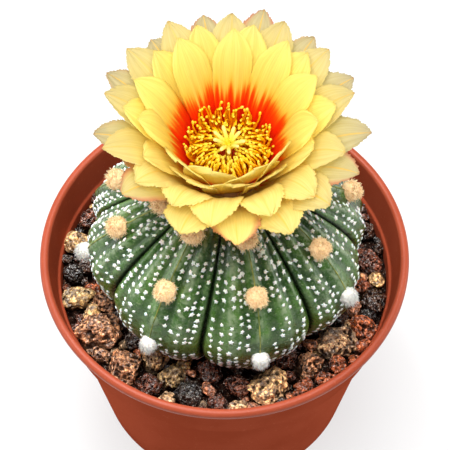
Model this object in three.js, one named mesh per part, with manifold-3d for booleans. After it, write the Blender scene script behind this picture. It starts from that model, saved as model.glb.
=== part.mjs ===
// A round, eight-ribbed star cactus in flower, growing in mineral grit in a 9 cm plant pot.
// Millimetres, +Z up. The origin is the centre of the pot's foot, and the front is -Y.
// Azimuths are degrees from the front, turning towards +X.

import * as THREE from 'three';
import { mergeVertices } from 'three/addons/utils/BufferGeometryUtils.js';
import Module from 'manifold-3d';

const wasm = await Module();
wasm.setup();

// ---- Driving dimensions ----------------------------------------------------------------

const GAP = 0.3;               // clearance between neighbouring pieces
const ROUND = 36;              // sides of the pot and of what lies in it

const POT_HEIGHT = 62;
const RIM_RADIUS = 45;
const LIP_HEIGHT = 2.4;        // rounded band round the mouth
const LIP_OVERHANG = 1.7;
const LIP_WIDTH = 2.1;
const ROUNDING = 0.65;         // of the lip's and the foot's edges
const EASE = 0.5;              // smaller slopes where two walls of the pot meet
const COLLAR_HEIGHT = 16.4;    // straight band below the lip
const COLLAR_FOOT_RADIUS = 41.2;
const COLLAR_STEP = 1.5;       // how far the collar stands out over the body
const FOOT_RADIUS = 33.3;
const FOOT_RING = 2.3;
const FOOT_RECESS = 1.8;
const POT_BASE = 3;            // top of the floor inside
const WALL = 1.1;
const LEDGE_DEPTH = 9.3;       // inner ledge, down from the mouth
const LEDGE_RADIUS = 41.45;
const LEDGE_WIDTH = 0.7;
const DRAIN_HOLES = 6;
const DRAIN_RADIUS = 2.5;
const DRAIN_CIRCLE = 20;
const DRAIN_SIDES = 8;

const GRIT_TOP = 50.4;
const STONE_SINK = 0.3;        // how far a stone's middle stands over the bed, of its size
const STONE_FLATTEN = 0.82;
const STONE_BAND = [28, 37.8];
const STONE_SIZES = [3.2, 2.1];
const STONE_TRIES = 400;
const STONE_SWELL = 0.16;
const STONE_REACH = POT_HEIGHT - 2;

// Large stones: azimuth, distance from the middle, half width.
const LARGE_STONES = [
  [-60, 35, 4.7], [-41, 36, 4.3], [18, 34.3, 4.5], [53, 33.8, 4.3],
  [-77, 37, 3.4], [-14, 35.5, 3.3], [5, 32.5, 3.2], [38, 33.2, 2.9],
  [64, 37.6, 3], [77, 37.4, 3], [-89, 37.8, 2.4], [-23, 31.9, 2.7],
];

const BODY_X = 0.5;
const BODY_Y = 0.4;
const BODY_RADIUS = 33.5;
const BODY_MIDDLE = 67.7;      // height of the widest place
const BODY_UPPER = 25.8;
const BODY_LOWER = 25;
const BODY_POWER = 1.6;        // under 2, so that the shoulders slope
const CROWN_DIP = 3;
const CROWN_WIDTH = 9;
const RIBS = 8;
const GROOVE = 0.13;           // depth, of the radius
const GROOVE_SHARPNESS = [2.6, 0.4];
const GROOVE_END = -60;        // the grooves fade out below the grit, in degrees from the widest place
const GROOVE_FADE = 30;
const RIB_STATIONS = [-1, -0.88, -0.5, 0, 0.5, 0.88];

// Azimuths of each ridge and of the groove after it, at the widest place and near the crown. The
// ribs are uneven and lean a little.
const RIDGES = [
  [12.9, 16], [56.5, 57.6], [104, 97], [152, 150], [202, 203], [250, 260], [278.5, 290.5], [328.3, 330.5],
];
const GROOVES = [
  [39.3, 36.2], [83.5, 76], [128, 124], [177, 176], [226, 232], [262, 271], [300.7, 309.2], [348.8, 353.9],
];

const BODY_ROWS = [80, 67, 54, 41, 28, 14, 0, -14, -28, -42, -56];
const ROOT_ROWS = [[9, 43], [5.5, 36], [3.5, 28]];
const ROOT_TIP = 20;

// Areoles on each rib, as angles up from the widest place, with the half width of their wool.
const LOW_AREOLES = [-0.02, 0.1, -0.35, 0, 0, -0.35, 0.05, -0.03];
const MIDDLE_AREOLES = [0.59, 0.66, 0.4, 0.45, 0.45, 0.59, 0.61, 0.55];
const UPPER_AREOLE = 1.07;
const CROWN_AREOLE = 1.27;
const WOOL = { low: 1.95, middle: 2.4, upper: 2.6, crown: 1.2 };
const WOOL_SIDES = 6;
const WOOL_LAYERS = [[-0.35, 0.75], [0.5, 1]];  // height and width, of the half width
const WOOL_TOP = 1.2;
const WOOL_SPREAD = 0.1;

const FLOWER = new THREE.Vector3(0.9, 3, 90.5);
const FLOWER_TILT = 7;         // degrees towards the front
const PETAL_THICKNESS = 0.7;
const PETAL_TWIST = 0.12;      // one edge over the next petal, the other under it
const PETAL_CUP = 0.02;
const PETAL_WIDEST = 0.7;      // along a petal, from its root
const PETAL_CLAW = 0.42;       // width at the root and at the end, of the widest
const PETAL_END = 0.37;
const PETAL_FRONT_WIDTH = 0.2; // how much wider the front petals are, of their width
const PETAL_VARIES = { turn: 0.12, lean: 0.12, half: 0.1, reach: 0.05, rise: 0.8 };
const PETAL_WAVE = { height: 0.25, along: 9.7, across: 5 };
const PETAL_GRID = { rows: [0, 0.35, 0.65, 0.89, 1], columns: [-1, -0.5, 0, 0.5, 1] };
const BRACT_GRID = { rows: [0, 0.45, 0.85, 1], columns: [-1, 0, 1] };

const TOOTH = [0.8, -0.35, 0]; // how far a petal's end stands out: middle, notch and corner

// Each whorl's middle line from root to tip, as distance and height, behind and at the front, and
// its half width. At the front the inner petals stand up and the outer ones arch over.
const PETALS = [
  { seed: 0, count: 11, phase: 0.75, half: 3.9,
    line: [[6.4, 4], [11.2, 13], [14, 23.6], [21.4, 27.3]],
    front: [[6.4, 4], [10.9, 12], [12.7, 20], [13.6, 26]] },
  { seed: 40, count: 11, phase: 0.25, half: 4.1,
    line: [[7.1, 3.5], [12.5, 11.5], [15.9, 22.4], [23.8, 25.7]],
    front: [[7.1, 3.5], [12, 11], [13.9, 19.8], [18, 21.8]] },
  { seed: 80, count: 14, phase: 0.5, half: 4.4,
    line: [[7.8, 3], [13.8, 10], [18.4, 21.5], [28.4, 23.6]],
    front: [[7.8, 3], [13.7, 10.3], [16.2, 19], [23, 19.3]] },
  { seed: 120, count: 14, phase: 0, half: 4.5,
    line: [[8.4, 2.5], [15.2, 8.3], [20.7, 19.3], [30, 20.8]],
    front: [[8.4, 2.5], [15, 9], [19.4, 17.6], [27, 15.5]] },
];
const BRACTS = [
  { seed: 160, count: 8, phase: 0.2, half: 2.9,
    line: [[7.8, 1.8], [14, 4], [19.5, 9], [23.4, 10.8]],
    front: [[7.8, 1.8], [14, 4], [19, 8.6], [22.5, 9.8]] },
  { seed: 200, count: 5, phase: 0.7, half: 1.9,
    line: [[6.6, 1.2], [10, 1.5], [12.2, 3], [13.8, 4.6]],
    front: [[6.6, 1.2], [9.5, 1.6], [11, 4.1], [13.2, 4.8]] },
];

const CUP_SIDES = 12;
const CUP_FLOOR = 2;
const TUBE_FOOT = -5;
const TUBE_RADII = [4.6, 5.6];  // at its foot and at the skin of the crown
const CUP_RIM = [[9.1, 2.6], [8.5, 4.5], [6.1, 5.8]];
const CUP_FLOOR_RADIUS = 5;
const SOCKET_FLARE = 5;        // keeps the crown's wool clear of the flower's bracts

const STAMEN_RING = [[1.5, 2.4], [4.4, 2.7], [4.9, 5], [4.1, 6.2], [1.5, 5.6]];
const STAMEN_CIRCLES = [
  { count: 16, root: 4.1, reach: 8.9, height: 13 },
  { count: 13, root: 3.5, reach: 7.7, height: 13.4 },
  { count: 10, root: 2.9, reach: 6.4, height: 12.7 },
  { count: 7, root: 2.3, reach: 5.5, height: 11.4 },
];
const FILAMENT_RADIUS = 0.32;
const ANTHER_RADIUS = 0.55;
const ANTHER_LENGTH = 1.4;
const STAMEN_ROOT = 5;
const STAMEN_VARIES = { turn: 0.4, top: 4, reach: 0.3, height: 0.5 };

const STYLE_RADIUS = 0.85;
const STYLE_TOP = 12.8;
const STYLE_SIDES = 8;
const LOBES = 9;
const LOBE_REACH = 3.8;
const LOBE_RISE = 3.4;
const LOBE_RADIUS = 0.42;

// ---- Small helpers -----------------------------------------------------------------------

function chance(item, draw) {
  const wave = Math.sin(item * 12.9898 + draw * 78.233 + 4.1) * 43758.5453;
  return wave - Math.floor(wave);
}

function vary(item, draw) {
  return 2 * chance(item, draw) - 1;
}

function around(azimuth, radius, height) {
  const turn = THREE.MathUtils.degToRad(azimuth);
  return new THREE.Vector3(radius * Math.sin(turn), -radius * Math.cos(turn), height);
}

function lathe(profile, sides) {
  const points = profile.map(([radius, height]) => new THREE.Vector2(radius, height));
  return new THREE.LatheGeometry(points, sides).rotateX(Math.PI / 2);
}

function indexed(points, index) {
  const geometry = new THREE.BufferGeometry();
  geometry.setAttribute('position', new THREE.Float32BufferAttribute(points.flatMap((p) => [...p]), 3));
  geometry.setIndex(index);
  return geometry;
}

// Joins rings of points into a closed skin. A ring of one point is a tip.
function loft(rings) {
  const index = [];
  const starts = [];
  let total = 0;
  for (const ring of rings) {
    starts.push(total);
    total += ring.length;
  }
  for (let row = 0; row < rings.length - 1; row += 1) {
    const lower = rings[row].length;
    const upper = rings[row + 1].length;
    const sides = Math.max(lower, upper);
    for (let side = 0; side < sides; side += 1) {
      const next = (side + 1) % sides;
      const a = starts[row] + (side % lower);
      const b = starts[row] + (next % lower);
      const c = starts[row + 1] + (next % upper);
      const d = starts[row + 1] + (side % upper);
      if (lower > 1) index.push(a, b, c);
      if (upper > 1) index.push(a, c, d);
    }
  }
  const last = rings.length - 1;
  for (let side = 1; side < rings[0].length - 1; side += 1) {
    index.push(starts[0], starts[0] + side + 1, starts[0] + side);
  }
  for (let side = 1; side < rings[last].length - 1; side += 1) {
    index.push(starts[last], starts[last] + side, starts[last] + side + 1);
  }
  return indexed(rings.flat(), index);
}

// A thin plate with alike triangles on both faces. place(row, column, face) gives its points.
function plate(rows, columns, place) {
  const points = [];
  for (const face of [1, -1]) {
    for (let row = 0; row < rows; row += 1) {
      for (let column = 0; column < columns; column += 1) points.push(place(row, column, face));
    }
  }
  const at = (row, column) => row * columns + column;
  const back = rows * columns;
  const index = [];
  for (let row = 0; row < rows - 1; row += 1) {
    for (let column = 0; column < columns - 1; column += 1) {
      const a = at(row, column);
      const b = at(row + 1, column);
      const c = at(row + 1, column + 1);
      const d = at(row, column + 1);
      index.push(a, b, c, a, c, d, back + a, back + c, back + b, back + a, back + d, back + c);
    }
  }
  const wall = (from, to) => index.push(to, from, back + from, to, back + from, back + to);
  for (let row = 0; row < rows - 1; row += 1) {
    wall(at(row, 0), at(row + 1, 0));
    wall(at(row + 1, columns - 1), at(row, columns - 1));
  }
  for (let column = 0; column < columns - 1; column += 1) {
    wall(at(0, column + 1), at(0, column));
    wall(at(rows - 1, column), at(rows - 1, column + 1));
  }
  return indexed(points, index);
}

function signedVolume(position, index) {
  const [a, b, c] = [new THREE.Vector3(), new THREE.Vector3(), new THREE.Vector3()];
  let volume = 0;
  for (let corner = 0; corner < index.length; corner += 3) {
    a.fromBufferAttribute(position, index[corner]);
    b.fromBufferAttribute(position, index[corner + 1]);
    c.fromBufferAttribute(position, index[corner + 2]);
    volume += a.dot(b.cross(c)) / 6;
  }
  return volume;
}

function solid(geometry) {
  const bare = geometry.clone();
  bare.deleteAttribute('normal');
  bare.deleteAttribute('uv');
  const merged = mergeVertices(bare, 1e-4);
  const corners = [];
  for (let corner = 0; corner < merged.index.count; corner += 3) {
    const [a, b, c] = [0, 1, 2].map((step) => merged.index.getX(corner + step));
    if (a !== b && b !== c && c !== a) corners.push(a, b, c);
  }
  if (signedVolume(merged.attributes.position, corners) < 0) corners.reverse();
  const vertProperties = new Float32Array(merged.attributes.position.array);
  const triVerts = new Uint32Array(corners);
  return new wasm.Manifold(new wasm.Mesh({ numProp: 3, vertProperties, triVerts }));
}

function joined(geometries) {
  return geometries.map(solid).reduce((whole, piece) => whole.add(piece));
}

function geometryOf(manifold) {
  const mesh = manifold.getMesh();
  const geometry = new THREE.BufferGeometry();
  geometry.setAttribute('position', new THREE.Float32BufferAttribute(mesh.vertProperties, 3));
  geometry.setIndex(Array.from(mesh.triVerts));
  const faceted = geometry.toNonIndexed();
  faceted.computeVertexNormals();
  return faceted;
}

function node(name, manifold, color, roughness) {
  const material = new THREE.MeshStandardMaterial({ color, roughness, metalness: 0 });
  const mesh = new THREE.Mesh(geometryOf(manifold), material);
  mesh.name = name;
  return mesh;
}

// ---- Pot ---------------------------------------------------------------------------------

const COLLAR_FOOT = POT_HEIGHT - COLLAR_HEIGHT;
const COLLAR_RADIUS = RIM_RADIUS - LIP_OVERHANG;

// The inside of the pot from the floor to the mouth.
function innerWall() {
  const body = COLLAR_FOOT_RADIUS - COLLAR_STEP - WALL;
  return [
    [FOOT_RADIUS - WALL, POT_BASE],
    [body, COLLAR_FOOT - WALL - EASE],
    [body + COLLAR_STEP, COLLAR_FOOT + EASE],
    [LEDGE_RADIUS - LEDGE_WIDTH, POT_HEIGHT - LEDGE_DEPTH - GAP],
    [LEDGE_RADIUS, POT_HEIGHT - LEDGE_DEPTH],
    [RIM_RADIUS - LIP_WIDTH, POT_HEIGHT - EASE],
  ];
}

function potShell() {
  const lipFoot = POT_HEIGHT - LIP_HEIGHT;
  const outside = [
    [0, FOOT_RECESS],
    [FOOT_RADIUS - FOOT_RING - EASE, FOOT_RECESS],
    [FOOT_RADIUS - FOOT_RING, 0],
    [FOOT_RADIUS - ROUNDING, 0],
    [FOOT_RADIUS, ROUNDING],
    [COLLAR_FOOT_RADIUS - COLLAR_STEP, COLLAR_FOOT - EASE],
    [COLLAR_FOOT_RADIUS, COLLAR_FOOT],
    [COLLAR_RADIUS, lipFoot - EASE],
    [RIM_RADIUS - ROUNDING, lipFoot],
    [RIM_RADIUS, lipFoot + ROUNDING],
    [RIM_RADIUS, POT_HEIGHT - ROUNDING],
    [RIM_RADIUS - ROUNDING, POT_HEIGHT],
    [RIM_RADIUS - LIP_WIDTH + EASE, POT_HEIGHT],
  ];
  return lathe([...outside, ...innerWall().reverse(), [0, POT_BASE]], ROUND);
}

function pot() {
  let shell = solid(potShell());
  for (let hole = 0; hole < DRAIN_HOLES; hole += 1) {
    const drill = new THREE.CylinderGeometry(DRAIN_RADIUS, DRAIN_RADIUS, 2 * POT_BASE, DRAIN_SIDES);
    drill.rotateX(Math.PI / 2);
    const place = around((360 * hole) / DRAIN_HOLES, DRAIN_CIRCLE, POT_BASE);
    drill.translate(place.x, place.y, place.z);
    shell = shell.subtract(solid(drill));
  }
  return node('pot', shell, 0xb5573b, 0.45);
}

// ---- Cactus body -------------------------------------------------------------------------

// A point of a ridge's outline, as distance and height. The angle is up from the widest place.
function ridgePoint(angle) {
  const out = Math.cos(angle);
  const up = Math.sin(angle);
  if (angle < 0) return [BODY_RADIUS * out, BODY_MIDDLE + BODY_LOWER * up];
  const stretch = (out ** BODY_POWER + up ** BODY_POWER) ** (-1 / BODY_POWER);
  const radius = BODY_RADIUS * out * stretch;
  const dip = CROWN_DIP * Math.exp(-((radius / CROWN_WIDTH) ** 2));
  return [radius, BODY_MIDDLE + BODY_UPPER * up * stretch - dip];
}

// How far a station between two grooves is cut in: 0 on the ridge, 1 in the groove.
function grooveAt(station) {
  const [flatness, sharpness] = GROOVE_SHARPNESS;
  return 1 - (1 - Math.abs(station) ** flatness) ** sharpness;
}

// Azimuth of a station of a rib, from the groove before it at -1 over the ridge to the next at 1.
function ribAzimuth(rib, station, angle) {
  const high = THREE.MathUtils.clamp(angle, 0, 1);
  const at = ([low, up]) => THREE.MathUtils.lerp(low, up, high);
  const before = at(GROOVES[(rib + RIBS - 1) % RIBS]) - (rib === 0 ? 360 : 0);
  const side = station < 0 ? before : at(GROOVES[rib]);
  return THREE.MathUtils.lerp(at(RIDGES[rib]), side, Math.abs(station));
}

// A ring round the body, with its grooves cut in as far as 'grooved' says, from 0 to 1.
function bodyRing(radius, height, angle, grooved) {
  const ring = [];
  for (let rib = 0; rib < RIBS; rib += 1) {
    for (const station of RIB_STATIONS) {
      const reach = radius * (1 - GROOVE * grooved * grooveAt(station));
      const point = around(ribAzimuth(rib, station, angle), reach, height);
      ring.push(point.add(new THREE.Vector3(BODY_X, BODY_Y, 0)));
    }
  }
  return ring;
}

function bodySkin() {
  const rows = BODY_ROWS.map((degrees) => {
    const angle = THREE.MathUtils.degToRad(degrees);
    const [radius, height] = ridgePoint(angle);
    const grooved = THREE.MathUtils.clamp((degrees - GROOVE_END) / GROOVE_FADE, 0, 1);
    return bodyRing(radius, height, angle, grooved);
  });
  const root = ROOT_ROWS.map(([radius, height]) => bodyRing(radius, height, 0, 0));
  const crown = [new THREE.Vector3(BODY_X, BODY_Y, BODY_MIDDLE + BODY_UPPER - CROWN_DIP)];
  const tip = [new THREE.Vector3(BODY_X, BODY_Y, ROOT_TIP)];
  return loft([crown, ...rows, ...root, tip]);
}

// A button of wool, standing on the ridge at an angle and with its foot sunk in the skin.
function woolTuft(rib, angle, half) {
  const [radius, height] = ridgePoint(angle);
  const [nextRadius, nextHeight] = ridgePoint(angle + 0.02);
  const azimuth = ribAzimuth(rib, 0, angle);
  const centre = around(azimuth, radius, height).add(new THREE.Vector3(BODY_X, BODY_Y, 0));
  const out = around(azimuth, nextHeight - height, radius - nextRadius).normalize();
  const across = around(azimuth + 90, 1, 0);
  const along = new THREE.Vector3().crossVectors(out, across);
  const rings = WOOL_LAYERS.map(([rise, width], layer) => {
    const ring = [];
    for (let side = 0; side < WOOL_SIDES; side += 1) {
      const turn = (2 * Math.PI * side) / WOOL_SIDES;
      const spread = half * width * (1 + WOOL_SPREAD * vary(rib * 9 + side, layer + 11));
      ring.push(centre.clone()
        .addScaledVector(out, half * rise)
        .addScaledVector(across, spread * Math.cos(turn))
        .addScaledVector(along, spread * Math.sin(turn)));
    }
    return ring;
  });
  return loft([...rings, [centre.clone().addScaledVector(out, half * WOOL_TOP)]]);
}

function woolTufts() {
  const tufts = [];
  for (let rib = 0; rib < RIBS; rib += 1) {
    tufts.push(woolTuft(rib, LOW_AREOLES[rib], WOOL.low));
    tufts.push(woolTuft(rib, MIDDLE_AREOLES[rib], WOOL.middle));
    tufts.push(woolTuft(rib, UPPER_AREOLE, WOOL.upper));
    tufts.push(woolTuft(rib, CROWN_AREOLE, WOOL.crown));
  }
  return tufts;
}

// The hollow in the crown that the flower stands in, a gap wider than the flower's tube.
function flowerSocket() {
  const [foot, neck] = TUBE_RADII;
  const [rim, rise] = CUP_RIM[0];
  const profile = [
    [0, TUBE_FOOT - GAP],
    [foot + GAP, TUBE_FOOT - GAP],
    [neck + GAP, 0],
    [rim + 2 * GAP, rise - 2 * GAP],
    [rim + SOCKET_FLARE, rise + 1],
    [0, rise + 1],
  ];
  return solid(placedOnCrown(lathe(profile, CUP_SIDES)));
}

function cactusBody() {
  const body = joined([bodySkin(), ...woolTufts()]);
  return node('cactus_body', body.subtract(flowerSocket()), 0x3f6b3d, 0.5);
}

// ---- Grit bed ----------------------------------------------------------------------------

// The space that the cactus takes below its widest place, a gap larger than the cactus.
function cactusHole() {
  const rows = BODY_ROWS.filter((degrees) => degrees <= 0).map((degrees) => {
    const [radius, height] = ridgePoint(THREE.MathUtils.degToRad(degrees));
    return [radius + GAP, height - GAP];
  });
  const root = ROOT_ROWS.map(([radius, height]) => [radius + GAP, height - GAP]);
  const open = BODY_MIDDLE + 1;
  const profile = [[0, open], [BODY_RADIUS + GAP, open], ...rows, ...root, [0, ROOT_TIP - GAP]];
  return solid(lathe(profile, ROUND).translate(BODY_X, BODY_Y, 0));
}

// What fits in the pot, up to a height.
function potFilling(top) {
  const wall = innerWall().map(([radius, height]) => [radius - GAP, height + GAP]);
  const below = wall.filter(([, height]) => height < top);
  const [radius, height] = below[below.length - 1];
  const [nextRadius, nextHeight] = wall[below.length];
  const part = (top - height) / (nextHeight - height);
  const edge = radius + part * (nextRadius - radius);
  return lathe([[0, POT_BASE + GAP], ...below, [edge, top], [0, top]], ROUND);
}

// Large stones first, then smaller and smaller ones wherever they find room.
function stonePlaces() {
  const stones = LARGE_STONES.map(([azimuth, radius, size]) => ({ azimuth, radius, size }));
  const [inner, outer] = STONE_BAND;
  const [largest, smallest] = STONE_SIZES;
  for (let trial = 0; trial < STONE_TRIES; trial += 1) {
    const size = largest + (smallest - largest) * (trial / STONE_TRIES);
    const azimuth = 360 * chance(trial, 1);
    const radius = Math.sqrt(inner ** 2 + (outer ** 2 - inner ** 2) * chance(trial, 2));
    const here = around(azimuth, radius, 0);
    const free = stones.every((stone) => {
      const there = around(stone.azimuth, stone.radius, 0);
      return here.distanceTo(there) > size + stone.size;
    });
    if (free) stones.push({ azimuth, radius, size });
  }
  return stones;
}

function stoneLump({ azimuth, radius, size }, seed) {
  const lump = new THREE.IcosahedronGeometry(size, 0);
  lump.deleteAttribute('normal');
  lump.deleteAttribute('uv');
  const stone = mergeVertices(lump, 1e-4);
  const position = stone.attributes.position;
  for (let corner = 0; corner < position.count; corner += 1) {
    const swell = 1 + STONE_SWELL * vary(seed * 50 + corner, 3);
    position.setXYZ(corner, position.getX(corner) * swell, position.getY(corner) * swell,
      position.getZ(corner) * swell * STONE_FLATTEN);
  }
  const place = around(azimuth, radius, GRIT_TOP + size * STONE_SINK);
  return stone.rotateZ(6 * chance(seed, 4)).translate(place.x, place.y, place.z);
}

function gritBed() {
  const stones = stonePlaces().map(stoneLump);
  const heap = joined([potFilling(GRIT_TOP), ...stones]);
  const bed = heap.intersect(solid(potFilling(STONE_REACH))).subtract(cactusHole());
  return node('grit_bed', bed, 0x6e4a38, 0.95);
}

// ---- Flower ------------------------------------------------------------------------------

function placedOnCrown(geometry) {
  geometry.rotateX(THREE.MathUtils.degToRad(FLOWER_TILT));
  return geometry.translate(FLOWER.x, FLOWER.y, FLOWER.z);
}

function bezier(line, part) {
  const rest = 1 - part;
  const weights = [rest ** 3, 3 * part * rest ** 2, 3 * part ** 2 * rest, part ** 3];
  return [0, 1].map((axis) => line.reduce((sum, point, knot) => sum + weights[knot] * point[axis], 0));
}

// Half width along a petal, of its widest: a narrow claw, a broad blade and a blunt end.
function petalWidth(part) {
  if (part < PETAL_WIDEST) {
    return PETAL_CLAW + (1 - PETAL_CLAW) * Math.sin((Math.PI / 2) * (part / PETAL_WIDEST)) ** 1.4;
  }
  const past = (part - PETAL_WIDEST) / (1 - PETAL_WIDEST);
  return Math.sqrt(1 - (1 - PETAL_END ** 2) * past ** 2.6);
}

// How far a petal belongs to the front, from 0 behind and at the sides to 1.
function forwardness(turn) {
  return Math.max(0, -Math.sin(turn)) ** 0.8;
}

// A petal's own middle line, for the side of the flower that it is on.
function petalLine({ line, front }, turn, seed) {
  const forward = forwardness(turn);
  const own = line.map(([out, up], knot) => [
    THREE.MathUtils.lerp(out, front[knot][0], forward),
    THREE.MathUtils.lerp(up, front[knot][1], forward),
  ]);
  own[3][0] *= 1 + PETAL_VARIES.reach * vary(seed, 2);
  own[3][1] += PETAL_VARIES.rise * vary(seed, 3);
  return own;
}

// How far a point of a petal stands off its middle surface: a cup, a twist and a wavy edge.
function petalLift(part, side, across, seed) {
  const { height, along, across: sideways } = PETAL_WAVE;
  const ripple = Math.sin(along * part + sideways * side + 6 * chance(seed, 5));
  const wave = height * ripple * part ** 2 * Math.abs(side);
  return PETAL_CUP * across ** 2 * (1 - 0.6 * part) + PETAL_TWIST * across + wave;
}

// One petal as a thin plate. Its end is toothed and runs to a short point.
function petal(ring, number, { rows, columns }) {
  const seed = ring.seed + number;
  const turn = (2 * Math.PI * (number + ring.phase + PETAL_VARIES.turn * vary(seed, 1))) / ring.count;
  const line = petalLine(ring, turn, seed);
  const lean = turn + PETAL_VARIES.lean * vary(seed, 6);
  const wider = 1 + PETAL_FRONT_WIDTH * forwardness(turn);
  const half = ring.half * wider * (1 + PETAL_VARIES.half * vary(seed, 4));
  return plate(rows.length, columns.length, (row, column, face) => {
    const part = rows[row];
    const side = columns[column];
    const [radius, height] = bezier(line, part);
    const [beforeRadius, beforeHeight] = bezier(line, part - 0.01);
    const slope = new THREE.Vector2(radius - beforeRadius, height - beforeHeight).normalize();
    const across = side * half * petalWidth(part);
    const lift = petalLift(part, side, across, seed) + (face * PETAL_THICKNESS) / 2;
    const tooth = row === rows.length - 1 ? TOOTH[Math.round(2 * Math.abs(side))] : 0;
    const out = radius - slope.y * lift + slope.x * tooth;
    const up = height + slope.x * lift + slope.y * tooth;
    const sideTurn = THREE.MathUtils.lerp(turn, lean, part);
    return new THREE.Vector3(
      out * Math.cos(turn) - across * Math.sin(sideTurn),
      out * Math.sin(turn) + across * Math.cos(sideTurn),
      up,
    );
  });
}

function whorl(ring, grid) {
  return Array.from({ length: ring.count }, (_, number) => petal(ring, number, grid));
}

// The tube that stands in the crown and opens into the cup that every petal grows from.
function flowerCup() {
  const [foot, neck] = TUBE_RADII;
  const outside = [[0, TUBE_FOOT], [foot, TUBE_FOOT], [neck, 0], ...CUP_RIM];
  return lathe([...outside, [CUP_FLOOR_RADIUS, CUP_FLOOR + 0.5], [0, CUP_FLOOR]], CUP_SIDES);
}

function flower() {
  const cup = flowerCup();
  const petals = PETALS.flatMap((ring) => whorl(ring, PETAL_GRID));
  const bracts = BRACTS.flatMap((ring) => whorl(ring, BRACT_GRID));
  return node('flower', joined([cup, ...petals, ...bracts].map(placedOnCrown)), 0xf3dd62, 0.6);
}

// ---- Stamens and pistil ------------------------------------------------------------------

// A three-sided ring round a point, square to a direction.
function triangle(centre, direction, radius) {
  const side = new THREE.Vector3(-direction.y, direction.x, 0).normalize();
  const up = new THREE.Vector3().crossVectors(direction, side);
  return [0, 1, 2].map((corner) => {
    const turn = (2 * Math.PI * corner) / 3;
    return centre.clone()
      .addScaledVector(side, radius * Math.cos(turn))
      .addScaledVector(up, radius * Math.sin(turn));
  });
}

// A filament from its root to its anther, which swells and runs to a tip.
function stamen(circle, number) {
  const { count, root, reach, height } = STAMEN_CIRCLES[circle];
  const seed = 300 + circle * 40 + number;
  const azimuth = (360 * (number + STAMEN_VARIES.turn * vary(seed, 1) + circle / 3)) / count;
  const foot = around(azimuth, root, STAMEN_ROOT);
  const topAzimuth = azimuth + STAMEN_VARIES.top * vary(seed, 2);
  const topReach = reach + STAMEN_VARIES.reach * vary(seed, 3);
  const top = around(topAzimuth, topReach, height + STAMEN_VARIES.height * vary(seed, 4));
  const direction = top.clone().sub(foot).normalize();
  const middle = top.clone().addScaledVector(direction, 0.45 * ANTHER_LENGTH);
  const tip = top.clone().addScaledVector(direction, ANTHER_LENGTH);
  return loft([
    triangle(foot, direction, FILAMENT_RADIUS * 1.3),
    triangle(top, direction, FILAMENT_RADIUS),
    triangle(middle, direction, ANTHER_RADIUS),
    [tip],
  ]);
}

function stamens() {
  const ring = [...STAMEN_RING, STAMEN_RING[0]];
  const pieces = [lathe(ring, CUP_SIDES)];
  STAMEN_CIRCLES.forEach(({ count }, circle) => {
    for (let number = 0; number < count; number += 1) pieces.push(stamen(circle, number));
  });
  return node('stamens', joined(pieces.map(placedOnCrown)), 0xf2ae1f, 0.6);
}

function stigmaLobe(number) {
  const azimuth = (360 * number) / LOBES;
  const foot = around(azimuth, 0.2, STYLE_TOP - 0.6);
  const bend = around(azimuth, 0.5 * LOBE_REACH, STYLE_TOP + 0.7 * LOBE_RISE);
  const tip = around(azimuth, LOBE_REACH, STYLE_TOP + LOBE_RISE);
  const direction = tip.clone().sub(foot).normalize();
  return loft([
    triangle(foot, direction, LOBE_RADIUS),
    triangle(bend, direction, LOBE_RADIUS),
    triangle(tip, direction, 0.6 * LOBE_RADIUS),
  ]);
}

function pistil() {
  const foot = CUP_FLOOR + GAP;
  const profile = [[0, foot], [STYLE_RADIUS, foot], [STYLE_RADIUS, STYLE_TOP], [0, STYLE_TOP]];
  const pieces = [lathe(profile, STYLE_SIDES)];
  for (let number = 0; number < LOBES; number += 1) pieces.push(stigmaLobe(number));
  return node('pistil', joined(pieces.map(placedOnCrown)), 0xf6e46a, 0.6);
}

// ---- The whole plant ---------------------------------------------------------------------

const pottedCactus = new THREE.Group();
pottedCactus.add(pot(), gritBed(), cactusBody(), flower(), stamens(), pistil());

export default pottedCactus;
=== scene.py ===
"""A round, eight-ribbed star cactus in flower, growing in mineral grit in a 9 cm plant pot.

Shapes are worked out in millimetres and scaled to metres when a mesh is made. Azimuths are degrees
from the front, which is -Y, turning towards +X.
"""

import math

import bmesh
import bpy
import numpy as np
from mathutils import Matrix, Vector


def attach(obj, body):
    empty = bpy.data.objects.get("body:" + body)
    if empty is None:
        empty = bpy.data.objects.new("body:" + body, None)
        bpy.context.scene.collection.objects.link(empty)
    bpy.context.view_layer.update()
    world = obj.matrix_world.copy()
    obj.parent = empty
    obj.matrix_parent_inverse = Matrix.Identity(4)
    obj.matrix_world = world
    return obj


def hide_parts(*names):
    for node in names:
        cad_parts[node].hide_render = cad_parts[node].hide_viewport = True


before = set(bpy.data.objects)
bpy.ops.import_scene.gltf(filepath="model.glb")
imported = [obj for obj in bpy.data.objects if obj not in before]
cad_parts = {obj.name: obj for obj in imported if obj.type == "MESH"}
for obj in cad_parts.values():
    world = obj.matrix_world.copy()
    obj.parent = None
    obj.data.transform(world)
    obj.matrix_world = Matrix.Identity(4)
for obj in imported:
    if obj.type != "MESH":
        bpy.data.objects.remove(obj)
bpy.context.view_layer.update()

MM = 0.001
GAP = 0.3

# ---- Pot, as in the solids

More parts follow.
